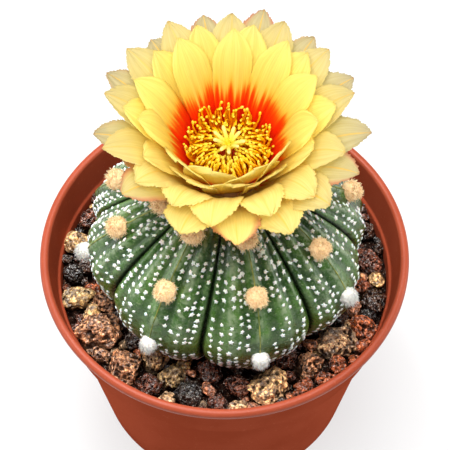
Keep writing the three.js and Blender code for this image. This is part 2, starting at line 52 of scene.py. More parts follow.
POT_HEIGHT = 62
RIM_RADIUS = 45
LIP_HEIGHT = 2.4
LIP_OVERHANG = 1.7
LIP_WIDTH = 2.1
ROUNDING = 0.65
EASE = 0.5
COLLAR_HEIGHT = 16.4
COLLAR_FOOT = POT_HEIGHT - COLLAR_HEIGHT
COLLAR_FOOT_RADIUS = 41.2
COLLAR_RADIUS = RIM_RADIUS - LIP_OVERHANG
COLLAR_STEP = 1.5
FOOT_RADIUS = 33.3
FOOT_RING = 2.3
FOOT_RECESS = 1.8
POT_BASE = 3
WALL = 1.1
LEDGE_DEPTH = 9.3
LEDGE_RADIUS = 41.45
LEDGE_WIDTH = 0.7
DRAIN_HOLES = 6
DRAIN_RADIUS = 2.5
DRAIN_CIRCLE = 20
DRAIN_SIDES = 32
POT_SIDES = 256
LIP_POLISH = 0.16
CORNER_STEPS = 4               # points on each rounded corner of an outline

# ---- Grit

GRIT_TOP = 50.4
BED_TOP = GRIT_TOP - 0.6
STONE_SINK = 0.3
STONE_FLATTEN = 0.82
STONE_BAND = (28, 37.8)
STONE_SIZES = (3.2, 2.1)
STONE_TRIES = 400
STONE_LIMIT = 40.9             # stones keep inside the pot's wall
FILLER_TRIES = 2600            # smaller stones between them
FILLER_SIZES = (2.3, 0.8)
FILLER_BAND = (22.5, 39.8)
MARK_REACH = 1.9               # a stone this near to a marked place has its kind

# Large stones: azimuth, distance from the middle, half width, kind.
LARGE_STONES = [
    (-60, 35, 4.7, "lava_tan"), (-41, 36, 4.3, "lava_tan"), (18, 34.3, 4.5, "pumice"),
    (53, 33.8, 4.3, "lava_grey"), (-77, 37, 3.4, "olive"), (-14, 35.5, 3.3, "black"),
    (5, 32.5, 3.2, "lava_red"), (38, 33.2, 2.9, "lava_tan"), (64, 37.6, 3, "brick"),
    (77, 37.4, 3, "dark"), (-89, 37.8, 2.4, "black"), (-23, 31.9, 2.7, "olive"),
]
# Smaller stones whose kind shows: azimuth, distance, kind.
MARKED_STONES = [
    (30, 36.5, "brick"), (-29, 36.4, "lava_red"), (1, 36, "lava_red"), (-34, 29.5, "pumice"),
    (-24, 37.7, "gold"), (-8, 31.4, "pink"), (87, 38.4, "gold"), (-103, 37.8, "gold"),
    (93, 35.8, "lava_red"), (-97, 35, "gold"), (-68, 30, "dark"), (-48, 28.6, "dark"),
    (-73, 30.4, "lava_tan"), (-87, 29.5, "dark"), (88, 30, "dark"), (64, 29.2, "dark"),
    (108, 37.2, "dark"), (112, 31.5, "dark"), (-7, 28, "lava_red"), (31, 28, "lava_red"),
    (55, 24, "dark"), (75, 30.3, "dark"), (46, 38.1, "brick"), (102, 29, "dark"),
    (118, 38.5, "dark"), (99, 38.2, "dark"), (104, 34.5, "lava_red"), (126, 38, "lava_red"),
    (115, 35, "black"), (122, 34, "dark"), (97, 32.5, "dark"), (-66, 33.3, "dark"),
]
# Each kind's colour, pore depth, lumpiness and gloss.
STONE_KINDS = {
    "lava_tan": ((0.37, 0.22, 0.14), 1.0, 0.9, 0.3),
    "lava_grey": ((0.38, 0.30, 0.21), 0.8, 1.0, 0.3),
    "lava_red": ((0.105, 0.042, 0.030), 0.9, 0.8, 0.5),
    "brick": ((0.29, 0.095, 0.045), 0.6, 0.8, 0.45),
    "pumice": ((0.58, 0.45, 0.27), 0.8, 1.1, 0.3),
    "olive": ((0.36, 0.30, 0.17), 0.5, 1.0, 0.4),
    "gold": ((0.50, 0.39, 0.22), 0.2, 0.7, 0.6),
    "pink": ((0.36, 0.18, 0.12), 0.2, 0.7, 0.5),
    "black": ((0.020, 0.022, 0.027), 0.6, 0.9, 0.7),
    "dark": ((0.046, 0.028, 0.023), 0.6, 0.9, 0.6),
}
COMMON_KINDS = [
    "lava_red", "dark", "dark", "brick", "lava_red", "lava_tan", "lava_red", "pink",
    "black", "gold", "lava_grey", "lava_red", "dark", "brick",
]

# ---- Cactus body

BODY_PLACE = (0.5, 0.4, 0)
BODY_RADIUS = 33.5
BODY_MIDDLE = 67.7
BODY_UPPER = 25.8
BODY_LOWER = 25
BODY_POWER = 1.6
CROWN_DIP = 3
CROWN_WIDTH = 9
RIBS = 8
ROOT = ((9, 43), (5.5, 36), (3.5, 28))
ROOT_TIP = 20
SKIN_HALF_COLUMNS = 26         # on each side of a ridge

# Azimuths of each ridge and of the groove after it, at the widest place and near the crown.
RIDGES = [(12.9, 16), (56.5, 57.6), (104, 97), (152, 150), (202, 203), (250, 260), (278.5, 290.5),
          (328.3, 330.5)]
GROOVES = [(39.3, 36.2), (83.5, 76), (128, 124), (177, 176), (226, 232), (262, 271), (300.7, 309.2),
           (348.8, 353.9)]
GROOVE = 0.13
GROOVE_SHARPNESS = (2.6, 0.4)
LOW_AREOLES = (-0.02, 0.1, -0.35, 0, 0, -0.35, 0.05, -0.03)
MIDDLE_AREOLES = (0.59, 0.66, 0.4, 0.45, 0.45, 0.59, 0.61, 0.55)
UPPER_AREOLE = 1.07
CROWN_AREOLE = 1.27
FLECK_ROWS = (-0.84, -0.67, -0.51, -0.36, -0.2, 0.2, 0.36, 0.51, 0.67, 0.84)
FLECK_STEP = 0.073             # between the flecks of a row, in radians up the body
FLECK_GAPS = 0.26              # share of a row's flecks that are missing
FLECK_ANGLES = (1.3, -0.66)
FLECK_SIZE = 0.6
FLECK_POINTS = 10
FLECK_ARMS = (1.05, 0.66)
RIDGE_ANGLES = (1.3, -0.75)
RIDGE_STEPS = 120
RIDGE_WIDTH = 0.15
WOOL = {"low": 1.95, "middle": 2.4, "upper": 2.6, "crown": 1.2}
WOOL_FIBRES = 560
CROWN_FIBRES = 60
FIBRE_RADII = (0.085, 0.07, 0.05, 0.02)

# ---- Flower

FLOWER = (0.9, 3, 90.5)
FLOWER_TILT = 7
PETAL_TWIST = 0.09
PETAL_CUP = 0.01
PETAL_WIDEST = 0.7
PETAL_CLAW = 0.56
PETAL_GRID = (96, 25)          # points along and across
PETAL_THICKNESS = 0.3
BRACT_GRID = (30, 11)
BRACT_THICKNESS = 0.5
BRACT_WHORL = 1.5              # beyond the last whorl of petals, which is 1
TOOTH_DEPTH = 0.3
SCALLOP_DEPTH = 0.7
WAVE_HEIGHT = 0.18
PLEAT_HEIGHT = 0.07

# Each whorl's middle line from root to tip, behind and at the front, with the count and half width of
# its petals. The front petals are wider, and a swing (radians) sets them off sideways.
PETALS = [
    {"seed": 0, "count": 11, "phase": 0.75, "half": 4.4, "wider": 0.42, "swing": 0.06,
     "line": [(6.4, 4), (11.2, 13), (14, 23.6), (21.4, 27.3)],
     "front": [(6.4, 4), (10.9, 12), (12.7, 20), (13.6, 26)]},
    {"seed": 40, "count": 11, "phase": 0.25, "half": 4.8, "wider": 0.2, "swing": 0.0,
     "line": [(7.1, 3.5), (12.5, 11.5), (15.9, 22.4), (23.8, 25.7)],
     "front": [(7.1, 3.5), (11.8, 11), (13.5, 19), (15.6, 22)]},
    {"seed": 80, "count": 14, "phase": 0.5, "half": 4.8, "wider": 0.16, "swing": -0.11,
     "line": [(7.8, 3), (13.8, 10), (18.4, 21.5), (28.4, 23.6)],
     "front": [(7.8, 3), (15.2, 8), (13.4, 23.4), (23, 19.3)]},
    {"seed": 120, "count": 14, "phase": 0, "half": 4.8, "wider": 0.16, "swing": 0.27,
     "line": [(8.4, 2.5), (15.2, 8.3), (20.7, 19.3), (30, 20.8)],
     "front": [(8.4, 2.5), (15, 9), (19.4, 17.6), (27, 15.5)]},
]
BRACTS = [
    {"seed": 160, "count": 8, "phase": 0.2, "half": 2.9, "wider": 0.2, "swing": 0.0,
     "line": [(7.8, 1.8), (14, 4), (19.5, 9), (23.4, 10.8)],
     "front": [(7.8, 1.8), (14, 4), (19, 8.6), (22.5, 9.8)]},
    {"seed": 200, "count": 5, "phase": 0.7, "half": 1.9, "wider": 0.2, "swing": 0.0,
     "line": [(6.6, 1.2), (10, 1.5), (12.2, 3), (13.8, 4.6)],
     "front": [(6.6, 1.2), (9.5, 1.6), (11, 4.1), (13.2, 4.8)]},
]
CUP_FLOOR = 2
TUBE_FOOT = -5
TUBE_RADII = (4.6, 5.6)
CUP_RIM = ((9.1, 2.6), (8.5, 4.5), (6.1, 5.8))
STAMEN_RING = ((0, 2.4), (4.4, 2.7), (4.9, 5), (4.1, 6.2), (1.5, 5.6), (0, 5.4))
STAMEN_ROOT = 4.6
STAMEN_RADII = (0.28, 0.22)
STAMEN_STEPS = 11
ANTHER_HALF_LENGTH = 0.5
ANTHER_RADIUS = 0.31
# Circles of stamens: count, distance of the roots, distance and height of the tips with the spread of
# each, and how far the stamens arch outwards.
STAMEN_CIRCLES = [
    (42, 4.4, (9.7, 0.5), (13.6, 0.9), 0.3), (44, 4.2, (8.6, 0.6), (13.0, 0.6), 1.2),
    (40, 3.9, (7.3, 0.6), (12.7, 0.5), 2.1), (36, 3.6, (6.1, 0.6), (12.3, 0.5), 2.7),
    (32, 3.3, (5.1, 0.5), (11.9, 0.5), 2.9), (26, 3.0, (4.3, 0.5), (11.4, 0.5), 2.8),
    (22, 2.7, (3.6, 0.4), (10.9, 0.5), 2.5), (16, 2.3, (2.9, 0.3), (10.5, 0.4), 2.0),
    (12, 1.9, (2.2, 0.2), (10.2, 0.4), 1.5),
]
STYLE_RADIUS = 0.85
STYLE_TOP = 12.4
LOBES = 9
LOBE_REACH = 3.5
LOBE_RISE = 2.8
LOBE_WIDTH = 0.58
LOBE_STEPS = 14

# ---- Floor, lights and camera, the lights in metres

FLOOR_REACH = 3000
WORLD_LIGHT = 0.14
PLANT_MIDDLE = (0, 0, 0.06)
FLOWER_MIDDLE = (0, 0, 0.1)
# Name, place, aim, size, power and what the light reaches. The thin petals get a weaker share of the
# light from above, and a fill from the front.
LIGHTS = [
    ("overhead", (-0.04, 0.06, 0.85), PLANT_MIDDLE, 0.7, 13.0, "rest"),
    ("flower_overhead", (-0.04, 0.06, 0.85), PLANT_MIDDLE, 0.7, 3.6, "flower"),
    ("flower_fill", (-0.03, -0.26, 0.56), FLOWER_MIDDLE, 0.3, 3.6, "flower"),
    ("wool_fill", (-0.03, -0.26, 0.56), FLOWER_MIDDLE, 0.3, 2.0, "wool"),
    ("key", (-0.16, 0.22, 0.78), PLANT_MIDDLE, 0.15, 2.4, "rest"),
    ("left", (-0.62, 0.08, 0.26), PLANT_MIDDLE, 0.4, 1.7, "all"),
    ("right", (0.62, 0.08, 0.26), PLANT_MIDDLE, 0.4, 1.7, "all"),
]

CAMERA_ELEVATION = 56.965
CAMERA_DISTANCE = 360
CAMERA_TARGET = (0.113, 0, 72.578)
CAMERA_LENS = 121.08
SENSOR = 36


# ---- Small helpers

def chance(item, draw):
    """A number from 0 to 1 that is always the same for the same item and draw."""
    wave = np.sin(np.asarray(item) * 12.9898 + draw * 78.233 + 4.1) * 43758.5453
    return wave - np.floor(wave)


def vary(item, draw):
    return 2 * chance(item, draw) - 1


def scatter(item, draw):
    """Three draws from -1 to 1 in a row, as a vector."""
    return np.stack([vary(item, draw), vary(item, draw + 1), vary(item, draw + 2)], -1)


def circle(sides):
    """The cosines and sines of equal steps round a circle."""
    turn = 2 * np.pi * np.arange(sides) / sides
    return np.cos(turn), np.sin(turn)


def around(azimuth, radius, height):
    turn = np.radians(azimuth)
    return np.stack(np.broadcast_arrays(radius * np.sin(turn), -radius * np.cos(turn), height), -1)


def smooth(value, low, high):
    part = np.clip((value - low) / (high - low), 0, 1)
    return part * part * (3 - 2 * part)


def unit(vectors):
    return vectors / np.maximum(np.linalg.norm(vectors, axis=-1, keepdims=True), 1e-9)


def lattice_noise(points, seed):
    """Smooth noise from -1 to 1 with a grain of 1."""
    cell = np.floor(points)
    part = points - cell
    part = part * part * (3 - 2 * part)
    total = 0
    for corner in range(8):
        step = np.array([corner & 1, corner >> 1 & 1, corner >> 2 & 1])
        key = (cell + step) @ np.array([1.0, 57.0, 113.0]) + 17 * seed
        weight = np.prod(np.where(step, part, 1 - part), -1)
        total = total + weight * vary(key, 5)
    return total


def rough_noise(points, seed, octaves):
    return sum(lattice_noise(points * 2 ** k, seed + k) / 2 ** k for k in range(octaves))


class Pile:
    """Collects small meshes into one object, with named values at their points."""

    def __init__(self):
        self.points = []
        self.faces = {3: [], 4: []}
        self.values = {}
        self.total = 0

    def add(self, points, faces, **values):
        points = np.asarray(points, float).reshape(-1, 3)
        for block in faces:
            block = np.asarray(block, int)
            if len(block):
                self.faces[block.shape[1]].append(block + self.total)
        for name, value in values.items():
            value = np.asarray(value, float)
            size = (len(points), 3) if value.shape[-1:] == (3,) and value.ndim else (len(points),)
            self.values.setdefault(name, []).append(np.broadcast_to(value, size))
        self.points.append(points)
        self.total += len(points)

    def build(self, name, material, place=None):
        points = np.concatenate(self.points)
        if place:
            points = place(points)
        mesh = bpy.data.meshes.new(name)
        blocks = [np.concatenate(self.faces[n]) for n in (3, 4) if self.faces[n]]
        sizes = np.concatenate([np.full(len(b), b.shape[1]) for b in blocks])
        mesh.vertices.add(len(points))
        mesh.vertices.foreach_set("co", (points * MM).ravel())
        mesh.loops.add(int(sizes.sum()))
        mesh.loops.foreach_set("vertex_index", np.concatenate([b.ravel() for b in blocks]))
        mesh.polygons.add(len(sizes))
        mesh.polygons.foreach_set("loop_start", np.concatenate([[0], np.cumsum(sizes)[:-1]]))
        for key, parts in self.values.items():
            value = np.concatenate(parts)
            kind = "FLOAT_VECTOR" if value.ndim == 2 else "FLOAT"
            attribute = mesh.attributes.new(key, kind, "POINT")
            attribute.data.foreach_set("vector" if value.ndim == 2 else "value", value.ravel())
        mesh.update(calc_edges=True)
        mesh.polygons.foreach_set("use_smooth", np.full(len(sizes), True))
        mesh.materials.append(material)
        piece = bpy.data.objects.new(name, mesh)
        bpy.context.scene.collection.objects.link(piece)
        return piece


def ring_faces(rows, sides):
    """Quads between rings of the same number of points."""
    row, side = np.meshgrid(np.arange(rows - 1), np.arange(sides), indexing="ij")
    after = (side + 1) % sides
    quads = np.stack([row * sides + side, row * sides + after,
                      (row + 1) * sides + after, (row + 1) * sides + side], -1)
    return quads.reshape(-1, 4)


def closed_rings(rings, first, last):
    """Points and faces of rings closed by a point at each end, running from the top or outside."""
    rows, sides = rings.shape[:2]
    points = np.concatenate([rings.reshape(-1, 3), [first], [last]])
    side = np.arange(sides)
    after = (side + 1) % sides
    top = np.stack([np.full(sides, rows * sides), after, side], -1)
    base = (rows - 1) * sides
    foot = np.stack([np.full(sides, rows * sides + 1), base + side, base + after], -1)
    return points, [ring_faces(rows, sides), top, foot]


def lathe(profile, sides):
    """A closed turned body. The profile starts and ends on the axis, going round clockwise."""
    profile = np.asarray(profile, float)
    cos, sin = circle(sides)
    inner = profile[1:-1]
    radius = inner[:, :1]
    rings = np.stack([radius * cos, radius * sin, np.repeat(inner[:, 1:], sides, 1)], -1)
    return closed_rings(rings, (0, 0, profile[0][1]), (0, 0, profile[-1][1]))


def softened(profile, reach):
    """The profile with each corner rounded over a distance, its end points kept."""
    profile = [np.array(point, float) for point in profile]
    result = [profile[0]]
    for before, corner, after in zip(profile, profile[1:], profile[2:]):
        back = np.linalg.norm(before - corner)
        ahead = np.linalg.norm(after - corner)
        start = corner + (before - corner) * min(reach / back, 0.45)
        end = corner + (after - corner) * min(reach / ahead, 0.45)
        for step in range(CORNER_STEPS + 1):
            part = step / CORNER_STEPS
            result.append((1 - part) ** 2 * start + 2 * part * (1 - part) * corner + part ** 2 * end)
    return np.array(result + [profile[-1]])


def bezier(line, part):
    """Points of a curve of four knots at each part from 0 to 1."""
    line = np.asarray(line, float)
    part = np.asarray(part, float)[..., None]
    rest = 1 - part
    return (rest ** 3 * line[0] + 3 * part * rest ** 2 * line[1]
            + 3 * part ** 2 * rest * line[2] + part ** 3 * line[3])


def hair(path, radii, sides):
    """A closed round rod along a path, with a radius at each of its points."""
    path = np.asarray(path, float)
    along = unit(np.gradient(path, axis=0))
    guide = np.where(np.abs(along[:, 2:]) < 0.9, np.array([0.0, 0, 1]), np.array([1.0, 0, 0]))
    across = unit(np.cross(along, guide))
    up = np.cross(along, across)
    cos, sin = circle(sides)
    radii = np.asarray(radii, float)[:, None, None]
    ring = across[:, None] * cos[:, None] + up[:, None] * sin[:, None]
    rings = path[:, None] + radii * ring
    return closed_rings(rings, path[0], path[-1])


# ---- Materials

class Surface:
    """A material built one node at a time around the standard surface shader."""

    def __init__(self, name, **constants):
        self.material = bpy.data.materials.new(name)
        self.material.use_nodes = True
        self.tree = self.material.node_tree
        self.shader = next(n for n in self.tree.nodes if n.type == "BSDF_PRINCIPLED")
        for key, value in constants.items():
            self.shader.inputs[key.replace("_", " ")].default_value = value
        self.place = self.add("TexCoord").outputs["Object"]

    def add(self, kind, inputs=None, **settings):
        node = self.tree.nodes.new("ShaderNode" + kind)
        for key, value in settings.items():
            setattr(node, key, value)
        for key, value in (inputs or {}).items():
            self.put(node.inputs[key], value)
        return node

    def put(self, socket, value):
        if isinstance(value, bpy.types.NodeSocket):
            self.tree.links.new(value, socket)
        else:
            socket.default_value = value

    def value(self, name):
        return self.add("Attribute", attribute_name=name).outputs["Fac"]

    def values(self, *names):
        return [self.value(name) for name in names]

    def colour(self, name):
        return self.add("Attribute", attribute_name=name).outputs["Vector"]

    def math(self, operation, first, second=0.0):
        node = self.add("Math", {0: first, 1: second}, operation=operation)
        return node.outputs[0]

    def times(self, first, second):
        return self.math("MULTIPLY", first, second)

    def remap(self, value, low, high, to_low=0.0, to_high=1.0):
        node = self.add("MapRange", {"Value": value, "From Min": low, "From Max": high,
                                     "To Min": to_low, "To Max": to_high},
                        interpolation_type="SMOOTHSTEP")
        return node.outputs["Result"]

    def noise(self, scale, detail, vector=None):
        inputs = {"Scale": scale, "Detail": detail, "Vector": vector or self.place}
        return self.add("TexNoise", inputs).outputs["Fac"]

    def vector(self, x, y, z):
        return self.add("CombineXYZ", {"X": x, "Y": y, "Z": z}).outputs["Vector"]

    def ramp(self, value, stops):
        node = self.add("ValToRGB", {"Fac": value})
        marks = node.color_ramp.elements
        while len(marks) < len(stops):
            marks.new(0.5)
        for mark, (position, colour) in zip(marks, stops):
            mark.position = position
            mark.color = (*colour, 1)
        return node.outputs["Color"]

    def mix(self, factor, first, second, blend="MIX"):
        node = self.add("Mix", data_type="RGBA", blend_type=blend)
        for socket, value in ((0, factor), (6, first), (7, second)):
            if isinstance(value, tuple) and len(value) == 3:
                value = (*value, 1)
            self.put(node.inputs[socket], value)
        return node.outputs[2]

    def tinted(self, base, tint):
        return self.mix(1.0, base, tint, "MULTIPLY")

    def bump(self, height, distance, under=None):
        inputs = {"Height": height, "Distance": distance, "Strength": 1.0}
        if under:
            inputs["Normal"] = under
        return self.add("Bump", inputs).outputs["Normal"]

    def cells(self, scale, size):
        """Spots of mixed sizes, one near the middle of each of many small cells, from 0 to 1."""
        node = self.add("TexVoronoi", {"Scale": scale, "Vector": self.place})
        draw = self.add("SeparateColor", {"Color": node.outputs["Color"]}).outputs[0]
        over = self.math("SUBTRACT", node.outputs["Distance"], self.times(draw, size))
        return self.remap(over, 0.03, -0.04), node.outputs["Distance"]

    def let_through(self, colour, share):
        """Lets part of the light through, as thin petals do."""
        thin = self.add("BsdfTranslucent", {"Color": colour})
        mixed = self.add("MixShader", {0: share, 1: self.shader.outputs["BSDF"], 2: thin.outputs["BSDF"]})
        output = next(n for n in self.tree.nodes if n.type == "OUTPUT_MATERIAL")
        self.tree.links.new(mixed.outputs["Shader"], output.inputs["Surface"])

    def finish(self, colour, roughness=None, normal=None):
        self.put(self.shader.inputs["Base Color"], colour)
        if roughness is not None:
            self.put(self.shader.inputs["Roughness"], roughness)
        if normal is not None:
            self.put(self.shader.inputs["Normal"], normal)
        return self.material


def pot_plastic():
    look = Surface("pot_plastic")
    cloud = look.noise(60, 3)
    speck = look.noise(1400, 2)
    split = look.add("SeparateXYZ", {"Vector": look.place})
    stretched = [look.times(split.outputs[axis], scale)
                 for axis, scale in (("X", 90.0), ("Y", 90.0), ("Z", 900.0))]
    flow = look.noise(1.0, 2, look.vector(*stretched))
    base = look.mix(look.remap(cloud, 0.35, 0.65), (0.305, 0.054, 0.023), (0.340, 0.064, 0.029))
    base = look.mix(look.remap(speck, 0.62, 0.75, 0, 0.3), base, (0.50, 0.13, 0.07))
    look.put(look.shader.inputs["Specular IOR Level"], look.value("polish"))
    roughness = look.remap(flow, 0.3, 0.7, 0.32, 0.38)
    normal = look.bump(flow, 0.000012)
    normal = look.bump(speck, 0.00003, under=normal)
    return look.finish(base, roughness, normal)


def stone_surface():
    look = Surface("mineral_grit")
    colour = look.colour("tint")
    hollow, gloss, porous = look.values("hollow", "gloss", "porous")
    grain = look.noise(900, 6)
    patch = look.noise(300, 3)
    glint = look.noise(2600, 2)
    large_pits, knobs = look.cells(1150, 0.38)
    small_pits, beads = look.cells(2300, 0.36)
    dull = look.mix(look.remap(grain, 0.42, 0.58), (0.55, 0.50, 0.48), (2.0, 1.9, 1.75))
    base = look.tinted(colour, dull)
    warm = look.mix(look.remap(patch, 0.42, 0.60), (0.80, 0.78, 0.80), (1.25, 1.12, 0.98))
    base = look.tinted(base, warm)
    # Knob tops lighter and the ground between them darker: painted light and shade that follow the knobs.
    knob_light_and_shade = look.mix(look.remap(knobs, 0.15, 0.7), (1.45, 1.42, 1.36), (0.42, 0.35, 0.31))
    base = look.tinted(base, knob_light_and_shade)
    base = look.mix(look.remap(glint, 0.60, 0.70, 0, 0.5), base, (0.85, 0.76, 0.62))
    # Pits, low spots and lower flanks go near black and lose their shine: painted shade in the hollows and
    # under the stones.
    dark = look.times(look.math("MAXIMUM", large_pits, small_pits), porous)
    dark = look.math("MAXIMUM", dark, look.remap(hollow, 0.4, 0.8))
    base = look.mix(look.times(dark, 0.94), base, (0.008, 0.003, 0.002))
    shine = look.math("SUBTRACT", 1.0, look.times(dark, 0.85))
    shine = look.times(shine, look.remap(gloss, 0.0, 0.3, 0.05, 1.0))
    look.put(look.shader.inputs["Specular IOR Level"], shine)
    wet = look.math("ADD", gloss, look.times(grain, 0.5))
    roughness = look.remap(wet, 0.2, 1.0, 0.48, 0.16)
    normal = look.bump(knobs, -0.0004)
    normal = look.bump(grain, 0.0004, under=normal)
    normal = look.bump(dark, -0.0003, under=normal)
    normal = look.bump(beads, -0.00012, under=normal)
    return look.finish(base, roughness, normal)


def cactus_skin():
    look = Surface("cactus_skin", Specular_IOR_Level=0.62)
    mottle = look.noise(620, 5)
    cloud = look.noise(120, 3)
    fine = look.noise(2300, 3)
    station, rise, fold = look.values("station", "rise", "fold")
    base = look.ramp(look.remap(cloud, 0.3, 0.7), [
        (0.0, (0.015, 0.055, 0.007)), (0.5, (0.033, 0.098, 0.015)), (1.0, (0.068, 0.160, 0.032))])
    base = look.mix(look.remap(mottle, 0.50, 0.66, 0, 0.5), base, (0.10, 0.185, 0.058))
    base = look.mix(look.remap(fine, 0.56, 0.68, 0, 0.5), base, (0.20, 0.29, 0.13))
    # Pale grey-green on the raised folds: partly the skin's own bloom, partly painted sheen.
    bloom = look.times(look.remap(fold, 0.2, 0.9), look.remap(mottle, 0.35, 0.65, 0.0, 0.5))
    base = look.mix(bloom, base, (0.27, 0.35, 0.22))
    # Fold valleys darker: painted shade in the creases.
    base = look.mix(look.remap(fold, -0.1, -0.9, 0, 0.6), base, (0.008, 0.030, 0.005))
    # Darker towards the grit, paler and greyer towards the crown.
    darker_low_paler_high = look.mix(look.remap(rise, 0.15, 0.65), (0.58, 0.58, 0.52), (1.40, 1.28, 1.30))
    base = look.tinted(base, darker_low_paler_high)
    # Yellow-green low in the grooves: painted glow of light passing through the skin.
    low = look.times(look.remap(station, 0.55, 0.97), look.remap(rise, 0.75, 0.05))
    base = look.mix(look.times(low, 0.85), base, (0.13, 0.26, 0.022))
    # Grooves darkened to near black: painted shade.
    base = look.mix(look.remap(station, 0.91, 0.98, 0, 0.94), base, (0.004, 0.010, 0.002))
    roughness = look.remap(mottle, 0.3, 0.7, 0.18, 0.40)
    normal = look.bump(mottle, 0.00036)
    normal = look.bump(fine, 0.00008, under=normal)
    return look.finish(base, roughness, normal)


def fleck_surface():
    look = Surface("cactus_flecks", Roughness=0.9, Subsurface_Weight=0.2, Subsurface_Scale=0.0005)
    grain = look.noise(3000, 3)
    base = look.mix(grain, (0.82, 0.83, 0.78), (0.97, 0.97, 0.94))
    return look.finish(base, normal=look.bump(grain, 0.00008))


def ridge_surface():
    look = Surface("cactus_ridge_line", Roughness=0.5)
    grain = look.noise(500, 3)
    base = look.mix(look.remap(grain, 0.35, 0.65), (0.10, 0.15, 0.012), (0.34, 0.34, 0.06))
    return look.finish(base, normal=look.bump(grain, 0.00005))


def wool_surface():
    look = Surface("cactus_wool", Roughness=0.9, Subsurface_Weight=0.1, Subsurface_Scale=0.0004)
    tip, whiteness, shade = look.values("tip", "whiteness", "shade")
    tan = look.mix(tip, (0.72, 0.38, 0.14), (0.98, 0.73, 0.41))
    white = look.mix(tip, (0.44, 0.41, 0.36), (0.74, 0.72, 0.68))
    base = look.mix(whiteness, tan, white)
    deep = look.mix(whiteness, (0.50, 0.21, 0.06), (0.36, 0.32, 0.27))
    base = look.mix(look.times(shade, 0.75), base, deep)
    fine = look.noise(2500, 2)
    pale = look.mix(whiteness, (0.98, 0.80, 0.52), (0.80, 0.79, 0.75))
    base = look.mix(look.remap(fine, 0.4, 0.7, 0.0, 0.4), base, pale)
    return look.finish(base, normal=look.bump(fine, 0.0001))


def petal_surface():
    look = Surface("petals", Specular_IOR_Level=0.25, Roughness=0.5)
    along, side, tone, whorl = look.values("along", "side", "tone", "whorl")
    inside, pale, cool = look.values("inside", "pale", "cool")
    edge = look.math("ABSOLUTE", side)
    seed = look.times(tone, 91.0)

    flame = look.noise(1.0, 1, look.vector(look.times(side, 6.5), look.times(along, 0.8), seed))
    veins = look.noise(1.0, 3, look.vector(look.times(side, 22.0), look.times(along, 2.0), seed))
    tongue = look.times(look.math("SUBTRACT", flame, 0.5), look.remap(along, 0.66, 0.4, 0.08, 0.42))
    reach = look.math("ADD", look.math("ADD", along, cool), tongue)
    throat = look.ramp(reach, [
        (0.00, (0.62, 0.002, 0.0)), (0.26, (0.98, 0.008, 0.0)), (0.34, (1.0, 0.035, 0.0)),
        (0.39, (1.0, 0.10, 0.001)), (0.425, (1.0, 0.25, 0.012)), (0.455, (1.0, 0.46, 0.04)),
        (0.485, (1.0, 0.64, 0.08)), (0.52, (0.99, 0.75, 0.12)), (0.58, (0.98, 0.81, 0.17)),
        (0.70, (0.97, 0.84, 0.22)), (0.90, (0.96, 0.83, 0.25)), (1.00, (0.94, 0.80, 0.28))])
    back = look.ramp(along, [
        (0.10, (0.98, 0.60, 0.03)), (0.35, (0.99, 0.74, 0.07)), (0.55, (0.99, 0.82, 0.13)),
        (0.75, (0.98, 0.86, 0.20)), (1.00, (0.96, 0.85, 0.27))])
    base = look.mix(inside, back, throat)
    cream = look.ramp(along, [
        (0.45, (0.95, 0.78, 0.18)), (0.62, (0.82, 0.74, 0.29)), (0.80, (0.66, 0.60, 0.33)),
        (1.00, (0.56, 0.49, 0.31))])
    # Grey-cream fade of the outer whorls, their own colour, stronger on the back petals as painted backlit
    # shade.
    fade = look.times(look.remap(along, 0.45, 0.75), look.remap(pale, 0.2, 1.0))
    base = look.mix(fade, base, cream)

    ribbing = look.mix(look.remap(veins, 0.38, 0.62), (0.95, 0.92, 0.84), (1.03, 1.04, 1.1))
    base = look.mix(look.remap(along, 0.3, 0.6, 0.2, 0.9), base, look.tinted(base, ribbing))
    rib = look.times(look.remap(edge, 0.07, 0.015), look.remap(along, 0.55, 0.9, 0.0, 0.75))
    rib = look.times(rib, look.remap(whorl, 0.3, 0.9, 0.05, 1.0))
    base = look.mix(rib, base, (0.98, 0.62, 0.08))
    tip = look.times(look.remap(along, 0.975, 1.0, 0, 0.6), look.remap(whorl, 0.3, 0.9))
    tip = look.times(tip, look.remap(edge, 0.5, 0.1))
    base = look.mix(tip, base, (0.90, 0.36, 0.06))
    blush = look.times(look.remap(edge, 0.6, 1.0), look.remap(tone, 0.4, 0.9, 0.0, 1.0))
    blush = look.times(blush, look.remap(whorl, 0.6, 1.0, 0.0, 0.75))
    blush = look.times(blush, look.remap(along, 0.5, 0.8))
    base = look.mix(blush, base, (0.62, 0.15, 0.09))
    bract = look.remap(whorl, 1.1, 1.4)
    brown = look.mix(look.remap(flame, 0.3, 0.7), (0.46, 0.11, 0.05), (0.80, 0.46, 0.16))
    base = look.mix(bract, base, brown)
    look.let_through(look.mix(0.35, base, (1.0, 0.90, 0.50)), 0.5)
    normal = look.bump(veins, 0.00008)
    return look.finish(base, normal=normal)


def rod_surface(name, stops, glow, low, scale, share, **constants):
    """Thin rods coloured from root to tip, with a powdery glow, which let part of the light through."""
    look = Surface(name, **constants)
    grain = look.noise(scale, 2)
    base = look.ramp(look.value("along"), stops)
    base = look.mix(look.remap(grain, low, 0.7, 0, 0.15), base, glow)
    look.let_through(base, share)
    return look.finish(base, normal=look.bump(grain, 0.00008))


def stamen_surface():
    stops = [(0.0, (0.85, 0.015, 0.0)), (0.22, (1.0, 0.12, 0.0)), (0.42, (1.0, 0.40, 0.0)),
             (0.86, (1.0, 0.66, 0.0)), (0.92, (1.0, 0.80, 0.01)), (1.0, (1.0, 0.92, 0.12))]
    return rod_surface("stamens", stops, (1.0, 0.86, 0.10), 0.45, 2600, 0.45,
                       Roughness=0.3, Specular_IOR_Level=0.3)


